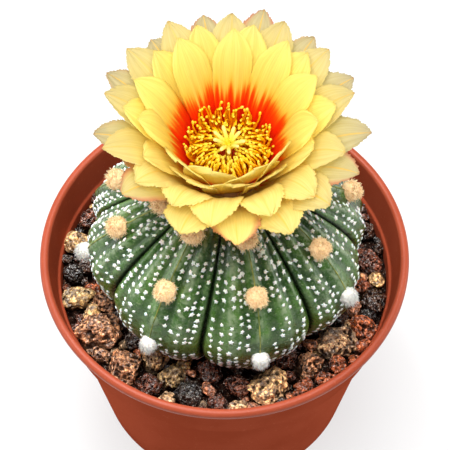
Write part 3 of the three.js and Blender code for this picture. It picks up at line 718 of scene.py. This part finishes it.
def pistil_surface():
    stops = [(0.0, (0.98, 0.40, 0.0)), (0.5, (1.0, 0.74, 0.0)), (0.72, (1.0, 0.86, 0.03)),
             (1.0, (1.0, 0.96, 0.36))]
    return rod_surface("pistil", stops, (1.0, 0.96, 0.40), 0.4, 1800, 0.4,
                       Roughness=0.35, Specular_IOR_Level=0.25)


def floor_surface():
    look = Surface("floor", Roughness=0.9, Specular_IOR_Level=0.0, Emission_Strength=0.66,
                   Emission_Color=(1, 1, 1, 1))
    grain = look.noise(4, 2)
    return look.finish(look.mix(grain, (0.25, 0.25, 0.25), (0.27, 0.27, 0.27)))


# ---- Pot

def inner_wall():
    """The inside of the pot from the floor to the mouth."""
    body = COLLAR_FOOT_RADIUS - COLLAR_STEP - WALL
    return [
        (FOOT_RADIUS - WALL, POT_BASE),
        (body, COLLAR_FOOT - WALL - EASE),
        (body + COLLAR_STEP, COLLAR_FOOT + EASE),
        (LEDGE_RADIUS - LEDGE_WIDTH, POT_HEIGHT - LEDGE_DEPTH - GAP),
        (LEDGE_RADIUS, POT_HEIGHT - LEDGE_DEPTH),
        (RIM_RADIUS - LIP_WIDTH, POT_HEIGHT - EASE),
    ]


def make_pot(material):
    lip_foot = POT_HEIGHT - LIP_HEIGHT
    outside = [
        (0, FOOT_RECESS),
        (FOOT_RADIUS - FOOT_RING - EASE, FOOT_RECESS),
        (FOOT_RADIUS - FOOT_RING, 0),
        (FOOT_RADIUS - ROUNDING, 0),
        (FOOT_RADIUS, ROUNDING),
        (COLLAR_FOOT_RADIUS - COLLAR_STEP, COLLAR_FOOT - EASE),
        (COLLAR_FOOT_RADIUS, COLLAR_FOOT),
        (COLLAR_RADIUS, lip_foot - EASE),
        (RIM_RADIUS - ROUNDING, lip_foot),
        (RIM_RADIUS, lip_foot + ROUNDING),
        (RIM_RADIUS, POT_HEIGHT - ROUNDING),
        (RIM_RADIUS - ROUNDING, POT_HEIGHT),
        (RIM_RADIUS - LIP_WIDTH + EASE, POT_HEIGHT),
    ]
    profile = softened([*outside, *reversed(inner_wall()), (0, POT_BASE)], 0.4)
    pile = Pile()
    points, faces = lathe(profile[::-1], POT_SIDES)
    on_lip = (points[:, 2] > lip_foot) & (np.hypot(points[:, 0], points[:, 1]) > RIM_RADIUS - LIP_WIDTH)
    pile.add(points, faces, polish=np.where(on_lip, LIP_POLISH, 0.0))
    pot = pile.build("pot_shell", material)
    drills = Pile()
    cos, sin = circle(DRAIN_SIDES)
    above, below = 2 * POT_BASE, -2
    for hole in range(DRAIN_HOLES):
        x, y, _ = around(360 * hole / DRAIN_HOLES, DRAIN_CIRCLE, 0)
        rings = np.stack([np.stack([x + DRAIN_RADIUS * cos, y + DRAIN_RADIUS * sin,
                                    np.full(DRAIN_SIDES, height)], -1) for height in (above, below)])
        drills.add(*closed_rings(rings, (x, y, above), (x, y, below)))
    cutter = drills.build("drills", material)
    cut = pot.modifiers.new("drain_holes", "BOOLEAN")
    cut.object = cutter
    cut.operation = "DIFFERENCE"
    cut.solver = "EXACT"
    bpy.context.view_layer.objects.active = pot
    bpy.ops.object.modifier_apply(modifier=cut.name)
    bpy.data.objects.remove(cutter)
    split_sharp(pot, 40)
    return pot


def split_sharp(piece, degrees):
    """Smooth shading that keeps edges sharper than an angle."""
    mesh = bmesh.new()
    mesh.from_mesh(piece.data)
    limit = math.radians(degrees)
    for face in mesh.faces:
        face.smooth = True
    for edge in mesh.edges:
        if len(edge.link_faces) == 2 and edge.calc_face_angle(0) > limit:
            edge.smooth = False
    mesh.to_mesh(piece.data)
    mesh.free()


# ---- Grit

def ball(detail):
    """Points on a unit sphere of triangles, and its faces."""
    mesh = bmesh.new()
    bmesh.ops.create_icosphere(mesh, subdivisions=detail, radius=1)
    points = np.array([v.co[:] for v in mesh.verts])
    faces = np.array([[v.index for v in f.verts] for f in mesh.faces])
    mesh.free()
    return points, faces


BALLS = {detail: ball(detail) for detail in (3, 4, 5)}


def stone_places():
    """Large stones, then smaller ones wherever they find room, then filler between those."""
    stones = [(azimuth, radius, size) for azimuth, radius, size, _ in LARGE_STONES]
    spots = [around(azimuth, radius, 0) for azimuth, radius, _ in stones]

    def fill(tries, band, sizes, draw, close):
        for trial in range(tries):
            size = sizes[0] + (sizes[1] - sizes[0]) * trial / tries
            azimuth = 360 * chance(trial, draw)
            radius = math.sqrt(band[0] ** 2 + (band[1] ** 2 - band[0] ** 2) * chance(trial, draw + 1))
            here = around(azimuth, radius, 0)
            room = np.linalg.norm(np.array(spots) - here, axis=1)
            if np.all(room > close * (size + np.array([s[2] for s in stones]))):
                stones.append((float(azimuth), radius, size))
                spots.append(here)

    fill(STONE_TRIES, STONE_BAND, STONE_SIZES, 1, 1.0)
    fill(FILLER_TRIES, FILLER_BAND, FILLER_SIZES, 21, 0.82)
    return stones


def stone_kind(index, azimuth, radius):
    if index < len(LARGE_STONES):
        return LARGE_STONES[index][3]
    here = around(azimuth, radius, 0)
    for marked_azimuth, marked_radius, kind in MARKED_STONES:
        if np.linalg.norm(here - around(marked_azimuth, marked_radius, 0)) < MARK_REACH:
            return kind
    return COMMON_KINDS[int(chance(index, 6) * len(COMMON_KINDS))]


def cut_flat(points, index):
    """A ball's points with flat sides, as broken stones have."""
    for side in range(7):
        facing = unit(np.array([vary(index, 91 + side), vary(index, 101 + side), vary(index, 111 + side)]))
        level = 0.66 + 0.26 * chance(index, 121 + side)
        over = np.maximum(points @ facing - level, 0)
        points = points - 0.9 * over[:, None] * facing
    return points


def add_stone(pile, index, azimuth, radius, size):
    colour, pores, lumps, gloss = STONE_KINDS[stone_kind(index, azimuth, radius)]
    detail = 5 if size > 2.6 else 4 if size > 1.6 else 3
    points, faces = BALLS[detail]
    shift = 13.7 * index
    bulk = 0.2 * rough_noise(points * 1.3 + shift, index, 2)
    lumpy = 0.13 * lumps * rough_noise(points * 2.8 + shift, index + 7, 2)
    rough = 0.07 * lumps * rough_noise(points * 7 + shift, index + 3, 3)
    count = int(30 + 90 * pores * min(1, size / 4))
    item = index * 131 + np.arange(count)
    middle = unit(scatter(item, 31))
    width = (0.05 + 0.11 * chance(item, 34) ** 2) * (1.1 if size > 3 else 1.4)
    away = np.sqrt(np.maximum(0, 2 - 2 * points @ middle.T)) / width
    dent = np.max(np.clip(1 - away, 0, 1) ** 0.6, axis=1)
    swell = 1.06 + bulk + lumpy + rough - 0.13 * pores * dent
    # Dents of the pores and low spots between the lumps are marked for darkening: painted shade in
    # recesses.
    low = np.clip(0.3 - 5 * (rough + 0.5 * lumpy), 0, 0.5)
    hollow = np.clip(pores * dent + low, 0, 1)
    stretch = np.array([1 + 0.16 * vary(index, 8), 1 + 0.16 * vary(index, 9), STONE_FLATTEN])
    shape = cut_flat(points * (1.06 + bulk)[:, None], index) * (swell / (1.06 + bulk))[:, None]
    shape = shape * size * 1.06 * stretch
    # The lower flank of each stone is darkened as well: painted shade under the stone.
    lower_flank_shade = smooth(-shape[:, 2] / size, -0.45, 0.2)
    hollow = np.clip(hollow + 0.7 * lower_flank_shade, 0, 1)
    turn = 6 * chance(index, 4)
    spin = np.array([[math.cos(turn), math.sin(turn), 0], [-math.sin(turn), math.cos(turn), 0], [0, 0, 1]])
    lift = 0 if size > FILLER_SIZES[0] else 0.5 * vary(index, 12)
    shape = shape @ spin + around(azimuth, radius, GRIT_TOP + size * STONE_SINK + lift)
    reach = np.hypot(shape[:, 0], shape[:, 1])
    held = np.minimum(1, STONE_LIMIT / np.maximum(reach, 1e-6))
    shape[:, :2] *= held[:, None]
    tint = np.array(colour) * (1.4 + 0.35 * vary(index, 14)) * (1, 0.94, 0.84)
    pile.add(shape, [faces], tint=np.broadcast_to(tint, shape.shape), hollow=hollow, gloss=gloss,
             porous=0.25 + 0.65 * pores)


def make_stones(material):
    pile = Pile()
    for index, (azimuth, radius, size) in enumerate(stone_places()):
        add_stone(pile, index, azimuth, radius, size)
    return pile.build("grit_stones", material)


def make_bed(material):
    """What fills the pot below the stones, with a rough top and the hole that the cactus is in."""
    wall = [(radius - GAP, height + GAP) for radius, height in inner_wall()]
    below = [point for point in wall if point[1] < GRIT_TOP]
    hole = [(ridge_point(angle)[0] + GAP, ridge_point(angle)[1] - GAP)
            for angle in np.radians(np.arange(-42, -58, -14))]
    hole += [(radius + GAP, height) for radius, height in ROOT]
    top = [(radius, BED_TOP) for radius in np.linspace(below[-1][0] + 0.6, hole[0][0] + 0.4, 44)]
    profile = [(0, POT_BASE + GAP), *below, *top, *hole, (0, ROOT_TIP - GAP)]
    points, faces = lathe(profile[::-1], POT_SIDES)
    on_top = np.abs(points[:, 2] - BED_TOP) < 0.01
    rough = rough_noise(points * 0.9, 3, 4)
    points[:, 2] += np.where(on_top, 0.5 * rough, 0)
    pile = Pile()
    # Near-black tint, darker in the low spots of the rough top: painted shade in the gaps between the
    # stones.
    pile.add(points, faces, tint=np.array((0.022, 0.010, 0.007)) * (1 + 0.5 * rough[:, None]),
             hollow=np.clip(0.6 - 0.5 * rough, 0, 1), gloss=0.0, porous=0.4)
    return pile.build("grit_fill", material)


# ---- Cactus body

def ridge_point(angle):
    """Distance and height of a ridge's outline. The angle is up from the widest place."""
    angle = np.asarray(angle, float)
    out = np.cos(angle)
    up = np.sin(angle)
    rise = np.maximum(up, 0)
    stretch = np.where(up < 0, 1, (out ** BODY_POWER + rise ** BODY_POWER) ** (-1 / BODY_POWER))
    radius = BODY_RADIUS * out * stretch
    dip = np.where(up < 0, 0, CROWN_DIP * np.exp(-((radius / CROWN_WIDTH) ** 2)))
    height = BODY_MIDDLE + np.where(up < 0, BODY_LOWER, BODY_UPPER) * up * stretch - dip
    return radius, height


def leaning(places, rib, angle):
    """An azimuth from its places at the widest height and near the crown."""
    pairs = np.array(places, float)[rib]
    return pairs[..., 0] + np.clip(angle, 0, 1) * (pairs[..., 1] - pairs[..., 0])


def rib_azimuth(rib, station, angle):
    """Azimuth of a station, from the groove before a rib at -1 over its ridge to the next at 1."""
    rib = np.asarray(rib, int)
    before = leaning(GROOVES, rib - 1, angle) - np.where(rib == 0, 360, 0)
    side = np.where(np.asarray(station) < 0, before, leaning(GROOVES, rib, angle))
    ridge = leaning(RIDGES, rib, angle)
    return ridge + np.abs(station) * (side - ridge)


def fold_height(rib, station, angle):
    """Soft folds that run along the ribs, strongest on the shoulders."""
    grain = np.stack(np.broadcast_arrays(station * 2.4 + rib * 7.3, angle * 1.6, rib * 3.1), -1)
    wander = 0.16 * lattice_noise(grain, 2)
    folds = np.cos(2 * np.pi * (2.15 * np.abs(station) ** 1.1 + wander))
    return folds * smooth(angle, -0.45, 0.45) * smooth(1 - np.abs(station), 0.02, 0.25)


def skin_point(rib, station, angle):
    """A point of the skin: the station runs from -1 to 1 between a rib's two grooves."""
    radius, height = ridge_point(angle)
    station = np.asarray(station, float)
    flatness, sharpness = GROOVE_SHARPNESS
    inside = np.clip(1 - np.abs(station) ** flatness, 0, 1)
    grooved = np.clip((np.degrees(angle) + 60) / 30, 0, 1)
    reach = radius * (1 - GROOVE * grooved * (1 - inside ** sharpness))
    azimuth = rib_azimuth(rib, station, angle)
    flat = around(azimuth, reach, height)
    clear = smooth(radius, 6, 20) * grooved
    lump = rough_noise(flat * 0.16, 11, 3) * smooth(1 - np.abs(station), 0.02, 0.25)
    push = (0.42 * fold_height(rib, station, angle) + 0.2 * lump) * clear
    keel = 0.25 * np.exp(-((station / 0.06) ** 2)) * grooved
    out = around(azimuth, np.cos(angle) + 0 * station, np.sin(angle) + 0 * station)
    return flat + out * (push + keel)[..., None] + BODY_PLACE


def make_skin(material):
    part = np.arange(-SKIN_HALF_COLUMNS, SKIN_HALF_COLUMNS) / SKIN_HALF_COLUMNS
    stations = np.sign(part) * (1 - (1 - np.abs(part)) ** 1.45)
    stations = np.where(np.abs(stations) < 0.001, 0, stations)
    angles = np.radians(np.concatenate([np.linspace(84, 60, 20), np.linspace(59, -58, 150)]))
    rib, row, column = np.meshgrid(np.arange(RIBS), angles, stations, indexing="ij")
    grid = skin_point(rib, column, row)
    rings = np.moveaxis(grid, 0, 1).reshape(len(angles), -1, 3)
    folds = np.moveaxis(fold_height(rib, column, row), 0, 1).reshape(len(angles), -1)
    low = rib_azimuth(rib[:, 0], column[:, 0], 0).ravel()
    root = [around(low, radius, height) + BODY_PLACE for radius, height in ROOT]
    rings = np.concatenate([rings, np.array(root)])
    x, y, _ = BODY_PLACE
    top = BODY_MIDDLE + BODY_UPPER - CROWN_DIP
    points, faces = closed_rings(rings, (x, y, top), (x, y, ROOT_TIP))
    station = np.tile(np.abs(stations), RIBS * len(rings))
    rise = (points[:, 2] - GRIT_TOP) / (BODY_MIDDLE + BODY_UPPER - GRIT_TOP)
    fold = np.zeros(len(points))
    fold[:folds.size] = folds.ravel()
    pile = Pile()
    pile.add(points, faces, station=np.concatenate([station, [0, 0]]), rise=np.clip(rise, 0, 1), fold=fold)
    return pile.build("cactus_skin", material)


def add_fleck(pile, number, rib, station, angle):
    """A small star of white wool."""
    point = np.arange(FLECK_POINTS)
    turn = 2 * np.pi * (point / FLECK_POINTS + chance(number, 46))
    centre = skin_point(rib, station, angle)
    right = unit(skin_point(rib, station + 0.02, angle) - centre)
    upward = unit(skin_point(rib, station, angle + 0.01) - centre)
    out = np.cross(right, upward)
    outward = around(rib_azimuth(rib, station, angle), math.cos(angle), math.sin(angle))
    out = out if out @ outward > 0 else -out
    size = FLECK_SIZE * (1 + 0.28 * vary(number, 44))
    arms = np.take(FLECK_ARMS, point % 2)
    spread = size * arms * (1 + 0.26 * vary(number * 17 + point, 45))
    ring = spread[:, None] * (np.cos(turn)[:, None] * right + np.sin(turn)[:, None] * upward)
    rings = np.stack([centre + 0.5 * ring + 0.20 * out, centre + 0.9 * ring + 0.12 * out,
                      centre + ring - 0.06 * out])
    pile.add(*closed_rings(rings, centre + 0.24 * out, centre - 0.1 * out))


def make_flecks(material):
    """Stars of wool in wandering rows between the ridge and the grooves."""
    pile = Pile()
    number = 0
    for rib in range(RIBS):
        for line in FLECK_ROWS:
            angle, lowest = FLECK_ANGLES
            while angle > lowest:
                number += 1
                angle -= FLECK_STEP * (1 + 0.35 * vary(number, 41))
                if chance(number, 42) < FLECK_GAPS:
                    continue
                drift = 0.07 * lattice_noise(np.array([angle * 2.6, line * 5, rib * 3.7]), 9)
                station = float(np.clip(line + drift + 0.018 * vary(number, 43), -0.94, 0.94))
                add_fleck(pile, number, rib, station, angle)
    return pile.build("cactus_flecks", material)


def make_ridges(material):
    pile = Pile()
    angles = np.linspace(*RIDGE_ANGLES, RIDGE_STEPS)
    step = np.arange(RIDGE_STEPS)
    for rib in range(RIBS):
        path = skin_point(np.full(RIDGE_STEPS, rib), np.zeros(RIDGE_STEPS), angles)
        width = RIDGE_WIDTH * (1 + 0.25 * vary(rib * 200 + step, 51))
        pile.add(*hair(path, width, 6))
    return pile.build("cactus_ridge_lines", material)


def tuft_places():
    """Rib, angle, half width and whiteness of each button of wool."""
    for rib in range(RIBS):
        yield rib, LOW_AREOLES[rib], WOOL["low"], 1.0
        yield rib, MIDDLE_AREOLES[rib], WOOL["middle"], 0.0
        yield rib, UPPER_AREOLE, WOOL["upper"], 0.0
        yield rib, CROWN_AREOLE, WOOL["crown"], 0.0


def add_tuft(pile, number, rib, angle, half, whiteness):
    radius, height = ridge_point(angle)
    next_radius, next_height = ridge_point(angle + 0.02)
    azimuth = float(rib_azimuth(rib, 0, angle))
    out = unit(around(azimuth, next_height - height, radius - next_radius))
    across = around(azimuth + 90, 1, 0)
    upward = np.cross(across, out)
    upward = upward if upward[2] > 0 or angle > 1.2 else -upward
    centre = around(azimuth, radius, height) + BODY_PLACE + 0.45 * half * out
    points, faces = BALLS[4]
    bumps = 0.07 * rough_noise(points * 5 + number, number, 3)
    droop = 0.20 * np.clip(-(points @ np.array([0, 1, 0])), 0, 1)
    frame_axes = np.stack([across, upward, out])
    core = half * 0.97 * (1 + bumps)[:, None] * points * (1, 1, 0.95)
    core[:, 1] -= half * droop * 0.6 * (0.4 + 0.6 * whiteness)
    shade = np.clip(0.5 - bumps * 12, 0, 1)
    pile.add(centre + core @ frame_axes, [faces], tip=0.7, whiteness=whiteness, shade=0.6 * shade)
    count = WOOL_FIBRES if angle < 1.2 else CROWN_FIBRES
    item = number * 1009 + np.arange(count)
    start = unit(scatter(item, 62) + (0, 0, 0.35))
    lean = unit(start + 0.9 * scatter(item, 65))
    curl = unit(np.cross(start, lean)) * vary(item, 68)[:, None]
    length = half * (0.2 + 0.26 * chance(item, 69) ** 2)
    for fibre in range(count):
        part = np.linspace(0, 1, 4)[:, None]
        path = (start[fibre] * half * 0.93 + part * length[fibre] * lean[fibre]
                + part ** 2 * length[fibre] * 0.6 * curl[fibre])
        path[:, 1] -= part[:, 0] ** 2 * length[fibre] * (0.3 + 0.9 * whiteness)
        rod, rod_faces = hair(centre + path @ frame_axes, FIBRE_RADII, 3)
        fade = np.concatenate([np.repeat(part[:, 0], 3), [0, 1]])
        pile.add(rod, rod_faces, tip=0.5 + 0.5 * fade, whiteness=whiteness,
                 shade=0.8 * chance(item[fibre], 70) * (1 - fade))


def make_wool(material):
    pile = Pile()
    for number, place in enumerate(tuft_places()):
        add_tuft(pile, number, *place)
    return pile.build("cactus_wool", material)


# ---- Flower

def on_crown(points):
    tilt = math.radians(FLOWER_TILT)
    x, y, z = points.T
    return np.stack([x, y * math.cos(tilt) - z * math.sin(tilt),
                     y * math.sin(tilt) + z * math.cos(tilt)], -1) + FLOWER


def petal_width(part, blunt):
    """Half width along a petal, of its widest. A blunt one has a rounder end."""
    grown = np.sin((np.pi / 2) * np.minimum(part / PETAL_WIDEST, 1)) ** 1.3
    past = np.clip((part - PETAL_WIDEST) / (1 - PETAL_WIDEST), 0, 1)
    closing = (1 - past ** (1.9 + 2.3 * blunt)) ** (0.92 - 0.4 * blunt)
    return np.where(part < PETAL_WIDEST, PETAL_CLAW + (1 - PETAL_CLAW) * grown, closing)


def petal_line(ring, turn, seed):
    forward = max(0.0, -math.sin(turn)) ** 0.8
    line = np.array(ring["line"], float)
    line = line + forward * (np.array(ring["front"]) - line)
    line[3, 0] *= 1 + 0.05 * vary(seed, 2)
    line[3, 1] += 0.8 * vary(seed, 3)
    return line


def add_petal(pile, ring, number, whorl, grid, thickness):
    rows, columns = grid
    seed = ring["seed"] + number
    turn = 2 * math.pi * (number + ring["phase"] + 0.12 * vary(seed, 1)) / ring["count"]
    turn += ring["swing"] * max(0.0, -math.sin(turn))
    line = petal_line(ring, turn, seed)
    lean = turn + 0.12 * vary(seed, 6)
    forward = max(0.0, -math.sin(turn))
    half = ring["half"] * (1 + ring["wider"] * forward) * (1 + 0.1 * vary(seed, 4))
    outer = min(whorl, 1)
    crest = forward * (1 - outer)
    part = 1 - (1 - np.linspace(0, 1, rows)) ** 1.3
    knots = bezier(line, part)
    length = np.concatenate([[0], np.cumsum(np.linalg.norm(np.diff(knots, axis=0), axis=1))])
    width = half * petal_width(part, 0.15 * outer + 0.85 * crest) + 0.04
    flare = np.gradient(width, length)
    square = np.hypot(1, flare)

    part, side = np.meshgrid(part, np.linspace(-1, 1, columns), indexing="ij")
    edge = np.abs(side)
    slope = unit(bezier(line, part) - bezier(line, part - 0.01))
    knots = knots[:, None, :]
    notch = np.cumsum(np.hypot(1, flare) * np.gradient(length))[:, None] * 1.5
    notch = notch + 3 * chance(seed, 15) + 40 * (side > 0) + 100 * seed
    saw = 0.5 * chance(np.floor(notch), 16) + 0.55 * (notch % 1) - 0.5
    toothed = smooth(part, 0.5, 0.75) * (1 - smooth(part, 0.985, 1))
    teeth = TOOTH_DEPTH * (1 + outer) * (1 + 0.5 * forward) * saw * toothed * edge ** 6
    across = side * (width[:, None] + teeth / square[:, None])
    end = smooth(part, 0.75, 1)
    scallop = lattice_noise(np.stack([side * 2.6 + 3 * seed, 0 * side, 0 * side], -1), 4)
    ahead = -teeth * (flare / square)[:, None] + SCALLOP_DEPTH * crest * scallop * end

    wave = WAVE_HEIGHT * np.sin(9.7 * part + 5 * side + 6 * chance(seed, 5)) * part ** 2 * edge
    grain = np.stack([part * 9 + seed, side * 2.5, 0 * part], -1)
    ruffle = (0.2 + 0.35 * forward) * lattice_noise(grain, seed)
    keel = (0.02 + 0.1 * outer * chance(seed, 17)) * np.abs(across) * smooth(part, 0.35, 0.9)
    pleats = PLEAT_HEIGHT * np.cos(side * 13 + 4 * chance(seed, 18)) * smooth(part, 0.15, 0.5)
    curl = (0.22 * vary(seed, 19) * edge + 0.45 * crest * scallop) * end
    lift = (PETAL_CUP * across ** 2 * (1 - 0.6 * part) + PETAL_TWIST * across + wave
            + ruffle * smooth(part, 0.4, 0.9) * edge ** 2 + keel + pleats + curl)
    thick = thickness * (1 - 0.7 * edge ** 2) * (1 - 0.5 * smooth(part, 0.7, 1))
    thick = thick + 0.08 * outer * np.exp(-((across / 0.28) ** 2)) * smooth(1 - part, -0.2, 0.3)

    def face(sign):
        off = lift + sign * thick / 2
        out = knots[..., 0] - slope[..., 1] * off + slope[..., 0] * ahead
        up = knots[..., 1] + slope[..., 0] * off + slope[..., 1] * ahead
        bent = turn + (lean - turn) * part
        return np.stack([out * math.cos(turn) - across * np.sin(bent),
                         out * math.sin(turn) + across * np.cos(bent), up], -1)

    def both(first, second):
        return np.concatenate([first, second[:, ::-1]], axis=1)

    rings = both(face(1), face(-1))
    points, faces = closed_rings(rings, rings[0].mean(0), rings[-1].mean(0))
    # cool shrinks the red throat, most on the front petals: there it is painted light, golden where the
    # petals are lit through.
    cool = 0.22 * max(0.0, outer - 0.4) + 0.5 * forward * min(1, 3 * outer)
    cool -= 0.035 * math.cos(turn) ** 2 * (1 - outer)
    # pale fades the outer whorls to grey-cream, their own colour, more on the back petals: that extra fade
    # is painted shade of petals seen against the light.
    pile.add(points, faces, along=np.append(both(part, part).ravel(), [0, 1]),
             side=np.append(both(side, side).ravel(), [0, 0]),
             inside=np.append(both(np.ones_like(part), np.zeros_like(part)).ravel(), [1, 1]),
             pale=outer * (1 - 0.65 * forward), tone=chance(seed, 20), whorl=whorl, cool=cool)


def make_petals(material):
    pieces = []
    for whorl, ring in enumerate(PETALS):
        pile = Pile()
        for number in range(ring["count"]):
            add_petal(pile, ring, number, whorl / (len(PETALS) - 1), PETAL_GRID, PETAL_THICKNESS)
        pieces.append(pile.build(f"petals_whorl_{whorl + 1}", material, on_crown))
    pile = Pile()
    for ring in BRACTS:
        for number in range(ring["count"]):
            add_petal(pile, ring, number, BRACT_WHORL, BRACT_GRID, BRACT_THICKNESS)
    pieces.append(pile.build("flower_bracts", material, on_crown))
    return pieces


def make_cup(material):
    foot, neck = TUBE_RADII
    outside = [(0, TUBE_FOOT), (foot, TUBE_FOOT), (neck, 0), *CUP_RIM]
    profile = softened([*outside, (5, CUP_FLOOR + 0.5), (0, CUP_FLOOR)], 0.6)
    points, faces = lathe(profile[::-1], 96)
    radius = np.hypot(points[:, 0], points[:, 1])
    turn = np.arctan2(points[:, 1], points[:, 0])
    flute = 1 + 0.03 * np.cos(12 * turn) * smooth(radius, 4, 8)
    points[:, :2] *= flute[:, None]
    inside = (radius < 6.5) & (points[:, 2] > 1)
    pile = Pile()
    pile.add(points, faces, along=np.where(inside, 0.0, 0.2), side=0.3, tone=0.4, pale=0.0, cool=0.0,
             inside=np.where(inside, 1.0, 0.0), whorl=np.where(inside, 0.0, BRACT_WHORL))
    return pile.build("flower_cup", material, on_crown)


# ---- Stamens and pistil

def add_stamen(pile, number, azimuth, root, top, arch):
    foot = around(azimuth, root, STAMEN_ROOT)
    reach, height = top
    tip = around(azimuth + 7 * vary(number, 72), reach, height)
    rise = height - STAMEN_ROOT
    leave = around(azimuth, root + 0.5 * max(reach - root, 0) + arch, STAMEN_ROOT + 0.45 * rise)
    bend = around(azimuth + 3 * vary(number, 73), reach + arch, height - 0.12 * rise)
    part = np.linspace(0, 1, STAMEN_STEPS)
    path = bezier([foot, leave, bend, tip], part)
    rod, faces = hair(path, np.linspace(*STAMEN_RADII, STAMEN_STEPS), 6)
    shade = np.append(np.repeat(0.88 * part ** 1.2, 6), [0, 0.88])
    pile.add(rod, faces, along=shade)
    direction = unit(path[-1] - path[-2] + 0.15 * np.array([vary(number, 74), vary(number, 75), 0.6]))
    grown = np.linspace(-1, 1, 9)
    length = ANTHER_HALF_LENGTH * (1 + 0.25 * vary(number, 76))
    bean = path[-1] + direction * (length * (grown + 0.75))[:, None]
    width = ANTHER_RADIUS * np.sqrt(np.maximum(1 - grown ** 2, 0.02)) * (1 + 0.15 * vary(number, 77))
    lump, lump_faces = hair(bean, width, 8)
    pile.add(lump, lump_faces, along=0.93 + 0.07 * chance(number, 78))


def make_stamens(material):
    pile = Pile()
    points, faces = lathe(softened(STAMEN_RING, 0.4)[::-1], 72)
    pile.add(points, faces, along=0.05)
    number = 0
    for count, root, (reach, reach_spread), (height, height_spread), arch in STAMEN_CIRCLES:
        for step in range(count):
            number += 1
            azimuth = 360 * (step + 0.45 * vary(number, 79)) / count + 11 * root
            top = (reach + reach_spread * vary(number, 80), height + height_spread * vary(number, 81))
            add_stamen(pile, number, azimuth, root, top, arch)
    return pile.build("stamen_tufts", material, on_crown)


def make_pistil(material):
    pile = Pile()
    foot = CUP_FLOOR + GAP
    profile = softened([(0, foot), (STYLE_RADIUS, foot), (STYLE_RADIUS * 0.85, STYLE_TOP - 2),
                        (STYLE_RADIUS * 1.15, STYLE_TOP), (0, STYLE_TOP + 0.3)], 0.3)
    points, faces = lathe(profile[::-1], 20)
    pile.add(points, faces, along=np.clip((points[:, 2] - foot) / STYLE_TOP * 0.6, 0, 1))
    for lobe in range(LOBES):
        azimuth = 360 * (lobe + 0.2 * vary(lobe, 85)) / LOBES
        reach = LOBE_REACH * (1 + 0.12 * vary(lobe, 86))
        line = [around(azimuth, 0.5, STYLE_TOP - 0.8), around(azimuth, 1.0, STYLE_TOP + 1),
                around(azimuth, 0.6 * reach, STYLE_TOP + 0.8 * LOBE_RISE),
                around(azimuth, reach, STYLE_TOP + LOBE_RISE + 0.4 * vary(lobe, 87))]
        part = np.linspace(0, 1, LOBE_STEPS)
        uneven = 1 + 0.08 * vary(np.arange(LOBE_STEPS) + 20 * lobe, 88)
        width = LOBE_WIDTH * (1 - 0.3 * part) * uneven
        width[-1] *= 0.5
        rod, rod_faces = hair(bezier(line, part), width, 9)
        pile.add(rod, rod_faces, along=np.append(np.repeat(0.6 + 0.4 * part, 9), [0.6, 1]))
    return pile.build("pistil_star", material, on_crown)


# ---- Floor, lights and camera

def make_floor(material):
    pile = Pile()
    reach = FLOOR_REACH
    pile.add([(-reach, -reach, 0), (reach, -reach, 0), (reach, reach, 0), (-reach, reach, 0)],
             [[(0, 1, 2, 3)]])
    floor = pile.build("floor", material)


def add_light(name, place, aim, size, power):
    data = bpy.data.lights.new(name, "AREA")
    data.size = size
    data.energy = power
    light = bpy.data.objects.new(name, data)
    light.location = place
    light.rotation_euler = (Vector(aim) - Vector(place)).to_track_quat("-Z", "Y").to_euler()
    bpy.context.scene.collection.objects.link(light)
    return light


def shine_on(light, pieces, state):
    """Lets a light reach only some pieces, or all but those."""
    group = bpy.data.collections.new(light.name + "_pieces")
    for piece in pieces:
        group.objects.link(piece)
    for item in group.collection_objects:
        item.light_linking.link_state = state
    light.light_linking.receiver_collection = group


def make_lights(flower, wool):
    linked = {"rest": (flower, "EXCLUDE"), "flower": (flower, "INCLUDE"), "wool": ([wool], "INCLUDE")}
    for name, place, aim, size, power, reached in LIGHTS:
        light = add_light(name, place, aim, size, power)
        if reached in linked:
            shine_on(light, *linked[reached])
    world = bpy.data.worlds.new("studio")
    world.use_nodes = True
    background = world.node_tree.nodes["Background"]
    background.inputs["Color"].default_value = (1, 1, 1, 1)
    background.inputs["Strength"].default_value = WORLD_LIGHT
    bpy.context.scene.world = world


def make_camera():
    data = bpy.data.cameras.new("camera")
    data.sensor_width = SENSOR
    data.lens = CAMERA_LENS
    data.clip_start = 0.01
    camera = bpy.data.objects.new("camera", data)
    rise = math.radians(CAMERA_ELEVATION)
    back = Vector((0, -math.cos(rise), math.sin(rise))) * CAMERA_DISTANCE
    camera.location = (Vector(CAMERA_TARGET) + back) * MM
    camera.rotation_euler = (-back).to_track_quat("-Z", "Y").to_euler()
    bpy.context.scene.collection.objects.link(camera)
    bpy.context.scene.camera = camera


# ---- The whole plant

def dress(piece, node):
    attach(piece, "root")
    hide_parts(node)
    return piece


def main():
    make_camera()
    make_floor(floor_surface())
    dress(make_pot(pot_plastic()), "pot")
    stone = stone_surface()
    dress(make_stones(stone), "grit_bed")
    dress(make_bed(stone), "grit_bed")
    dress(make_skin(cactus_skin()), "cactus_body")
    dress(make_flecks(fleck_surface()), "cactus_body")
    dress(make_ridges(ridge_surface()), "cactus_body")
    wool = dress(make_wool(wool_surface()), "cactus_body")
    petals = petal_surface()
    bloom = [dress(piece, "flower") for piece in [*make_petals(petals), make_cup(petals)]]
    bloom.append(dress(make_stamens(stamen_surface()), "stamens"))
    bloom.append(dress(make_pistil(pistil_surface()), "pistil"))
    make_lights(bloom, wool)
    bpy.context.scene.view_settings.view_transform = "Standard"


main()
